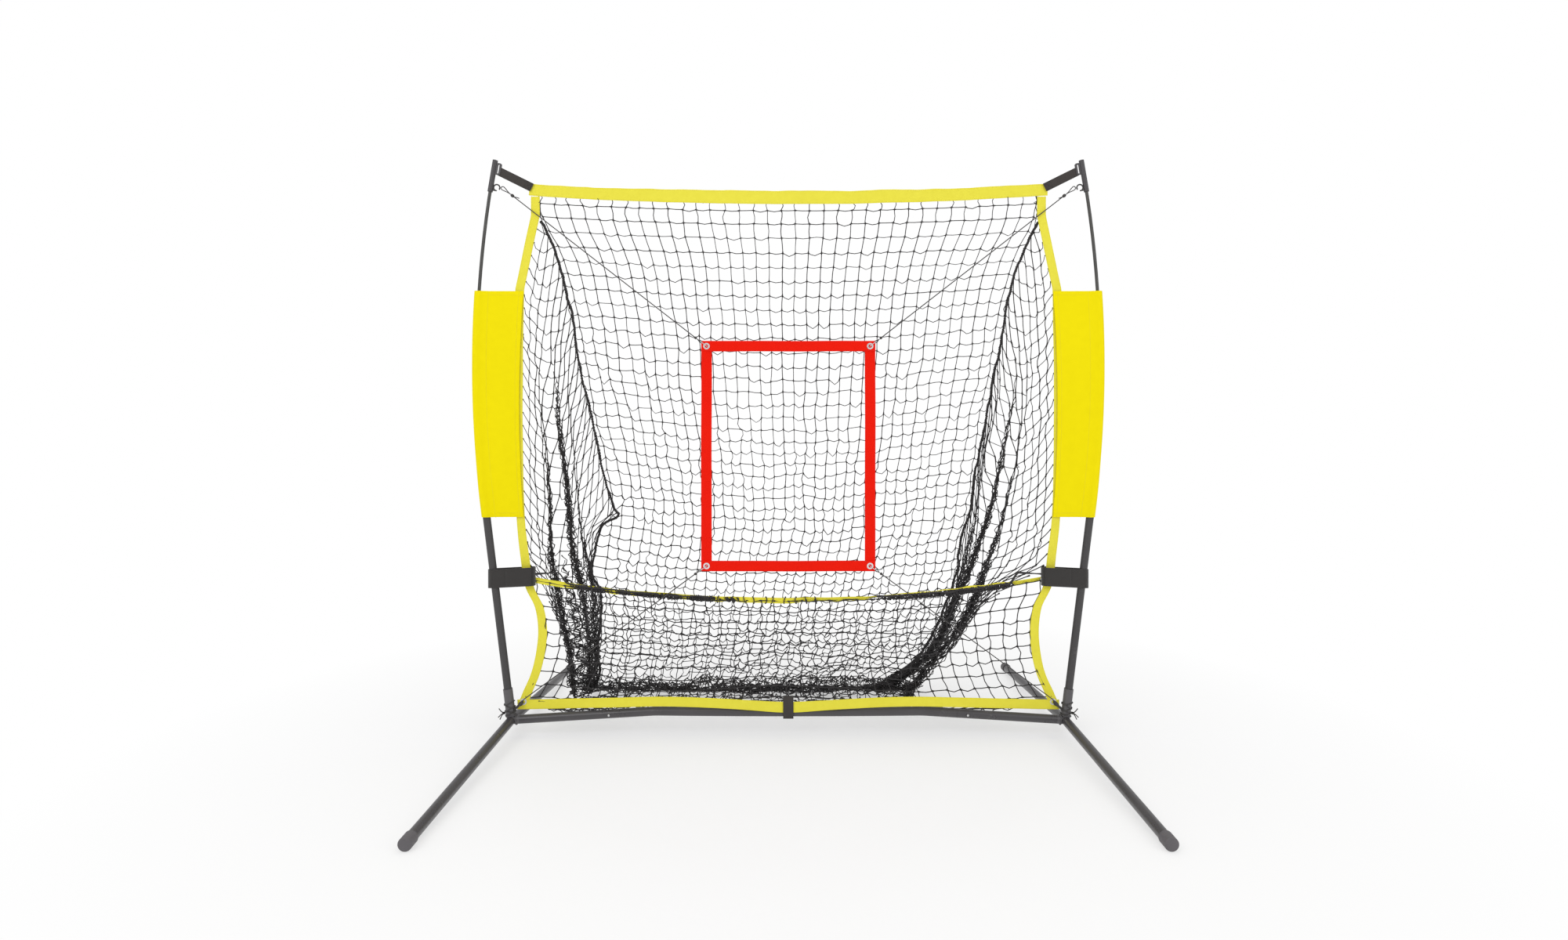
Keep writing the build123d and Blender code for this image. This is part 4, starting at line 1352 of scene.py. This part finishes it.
def hubKnots(side):  # the lower cord's end: turns round the hub's socket, a knot and two frayed tails
    sign = sides[side]
    bm = bmesh.new()
    axis = Vector((sign * math.sin(math.radians(pole["lean"])), 0, math.cos(math.radians(pole["lean"]))))
    foot = Vector((sign * pole["hubX"], 0, pole["hubZ"]))
    across = Vector((axis.z, 0, -axis.x))
    for turn, (lift, slant) in enumerate(((0.020, 0.25), (0.027, -0.2), (0.033, 0.5), (0.042, -0.6),
                                          (0.050, 0.35))):
        points = []
        for i in range(37):
            angle = 2 * math.pi * i / 36
            reach = 0.0134 + cord["radius"] * (1.05 + 0.25 * wobble(i * 0.3, turn))
            points.append(foot + axis * (lift + slant * 0.012 * math.cos(angle))
                          + across * reach * math.cos(angle) + Vector((0, reach * math.sin(angle), 0)))
        tube(bm, points, cord["radius"], 7)
    knot = foot + axis * 0.024 + across * sign * 0.0175 + Vector((0, -0.006, 0))
    for k in range(5):
        tilt = Vector((wobble(k, 1.0), wobble(k, 2.0), wobble(k, 3.0))) * 0.9
        wrapKnot(bm, knot + tilt * 0.006, (axis + tilt).normalized(), cord["radius"] * 0.9, turns=2,
                 size=0.0045)
    for k, (dx, dz) in enumerate(((0.014, 0.014), (0.016, -0.012), (0.011, -0.018))):
        points = [knot, knot + Vector((sign * dx * 0.5, -0.002, dz * 0.35)),
                  knot + Vector((sign * dx, -0.003, dz))]
        tube(bm, [along(points, i / 8) for i in range(9)], cord["radius"], 7)
    piece = finishMesh("hubKnots" + side.capitalize(), bm, mat["elastic"])
    attach(piece, "frame")


def hemTie(side):  # the thick doubled elastic between the hem's eyelet and the hub
    sign = sides[side]
    bm = bmesh.new()
    eye, end = Vector((sign * 0.778, 0.001, 0.100)), Vector((sign * 0.803, -0.006, 0.080))
    for shift in (-0.0022, 0.0022):
        points = [eye + Vector((0, 0.010, shift)), eye + Vector((sign * 0.003, -0.004, shift)),
                  eye.lerp(end, 0.5) + Vector((0, -0.006, shift)), end + Vector((0, 0, shift))]
        tube(bm, [along(points, i / 14) for i in range(15)], 0.0021, 8)
    wrapKnot(bm, eye + Vector((sign * 0.006, -0.0065, -0.004)), (end - eye).normalized(), 0.0016, turns=4,
             size=0.0055)
    piece = finishMesh("hemTie" + side.capitalize(), bm, mat["elastic"])
    attach(piece, "frame", "hem_tie_" + side)


for side, sign in sides.items():
    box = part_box("elastic_upper_" + side)
    hookEnd = Vector((sign * 0.8395, 0, 1.6095))
    inner = box[0][0] if sign > 0 else box[1][0]
    elasticCord("elasticUpper" + side.capitalize(), hookEnd, Vector((inner, 0, box[0][2])),
                "elastic_upper_" + side,
                True)
    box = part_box("elastic_lower_" + side)
    inner = box[0][0] if sign > 0 else box[1][0]
    elasticCord("elasticLower" + side.capitalize(), Vector((sign * 0.803, -0.006, 0.0885)),
                Vector((inner, 0, box[1][2])), "elastic_lower_" + side, False)
    hubKnots(side)
    hemTie(side)
print("cords made")



weld = {"size": 0.0021, "socketLift": 0.0135, "socketRadius": 0.0136, "barReach": 0.0145, "barRadius": 0.0130}


def weldBead(bm, centre, axis, radius):
    size = weld["size"]
    side = axis.cross(Vector((0.2, 1, 0.1))).normalized()
    up = axis.cross(side)
    points = []
    for i in range(73):
        angle = 2 * math.pi * i / 72
        ripple = 0.0004 * math.sin(i * 2.1) + 0.0004 * wobble(i * 0.3, radius * 900)
        around = side * math.cos(angle) + up * math.sin(angle)
        points.append(centre + around * (radius + ripple) + axis * ripple)
    tube(bm, points, lambda t: size * (1 + 0.22 * math.sin(t * 150)), 7)


def hubWelds(side):
    sign = sides[side]
    bm = bmesh.new()
    axis = Vector((sign * math.sin(math.radians(pole["lean"])), 0, math.cos(math.radians(pole["lean"]))))
    foot = Vector((sign * pole["hubX"], 0, pole["hubZ"]))
    weldBead(bm, foot + axis * weld["socketLift"], axis, weld["socketRadius"])
    barAxis = Vector((-sign * 0.421, 0, 0.0255)).normalized()
    weldBead(bm, foot + barAxis * weld["barReach"], barAxis, weld["barRadius"])
    piece = finishMesh("hubWelds" + side.capitalize(), bm, mat["hub"])
    attach(piece, "frame")


for side in sides:
    hubWelds(side)

print("all pieces made")
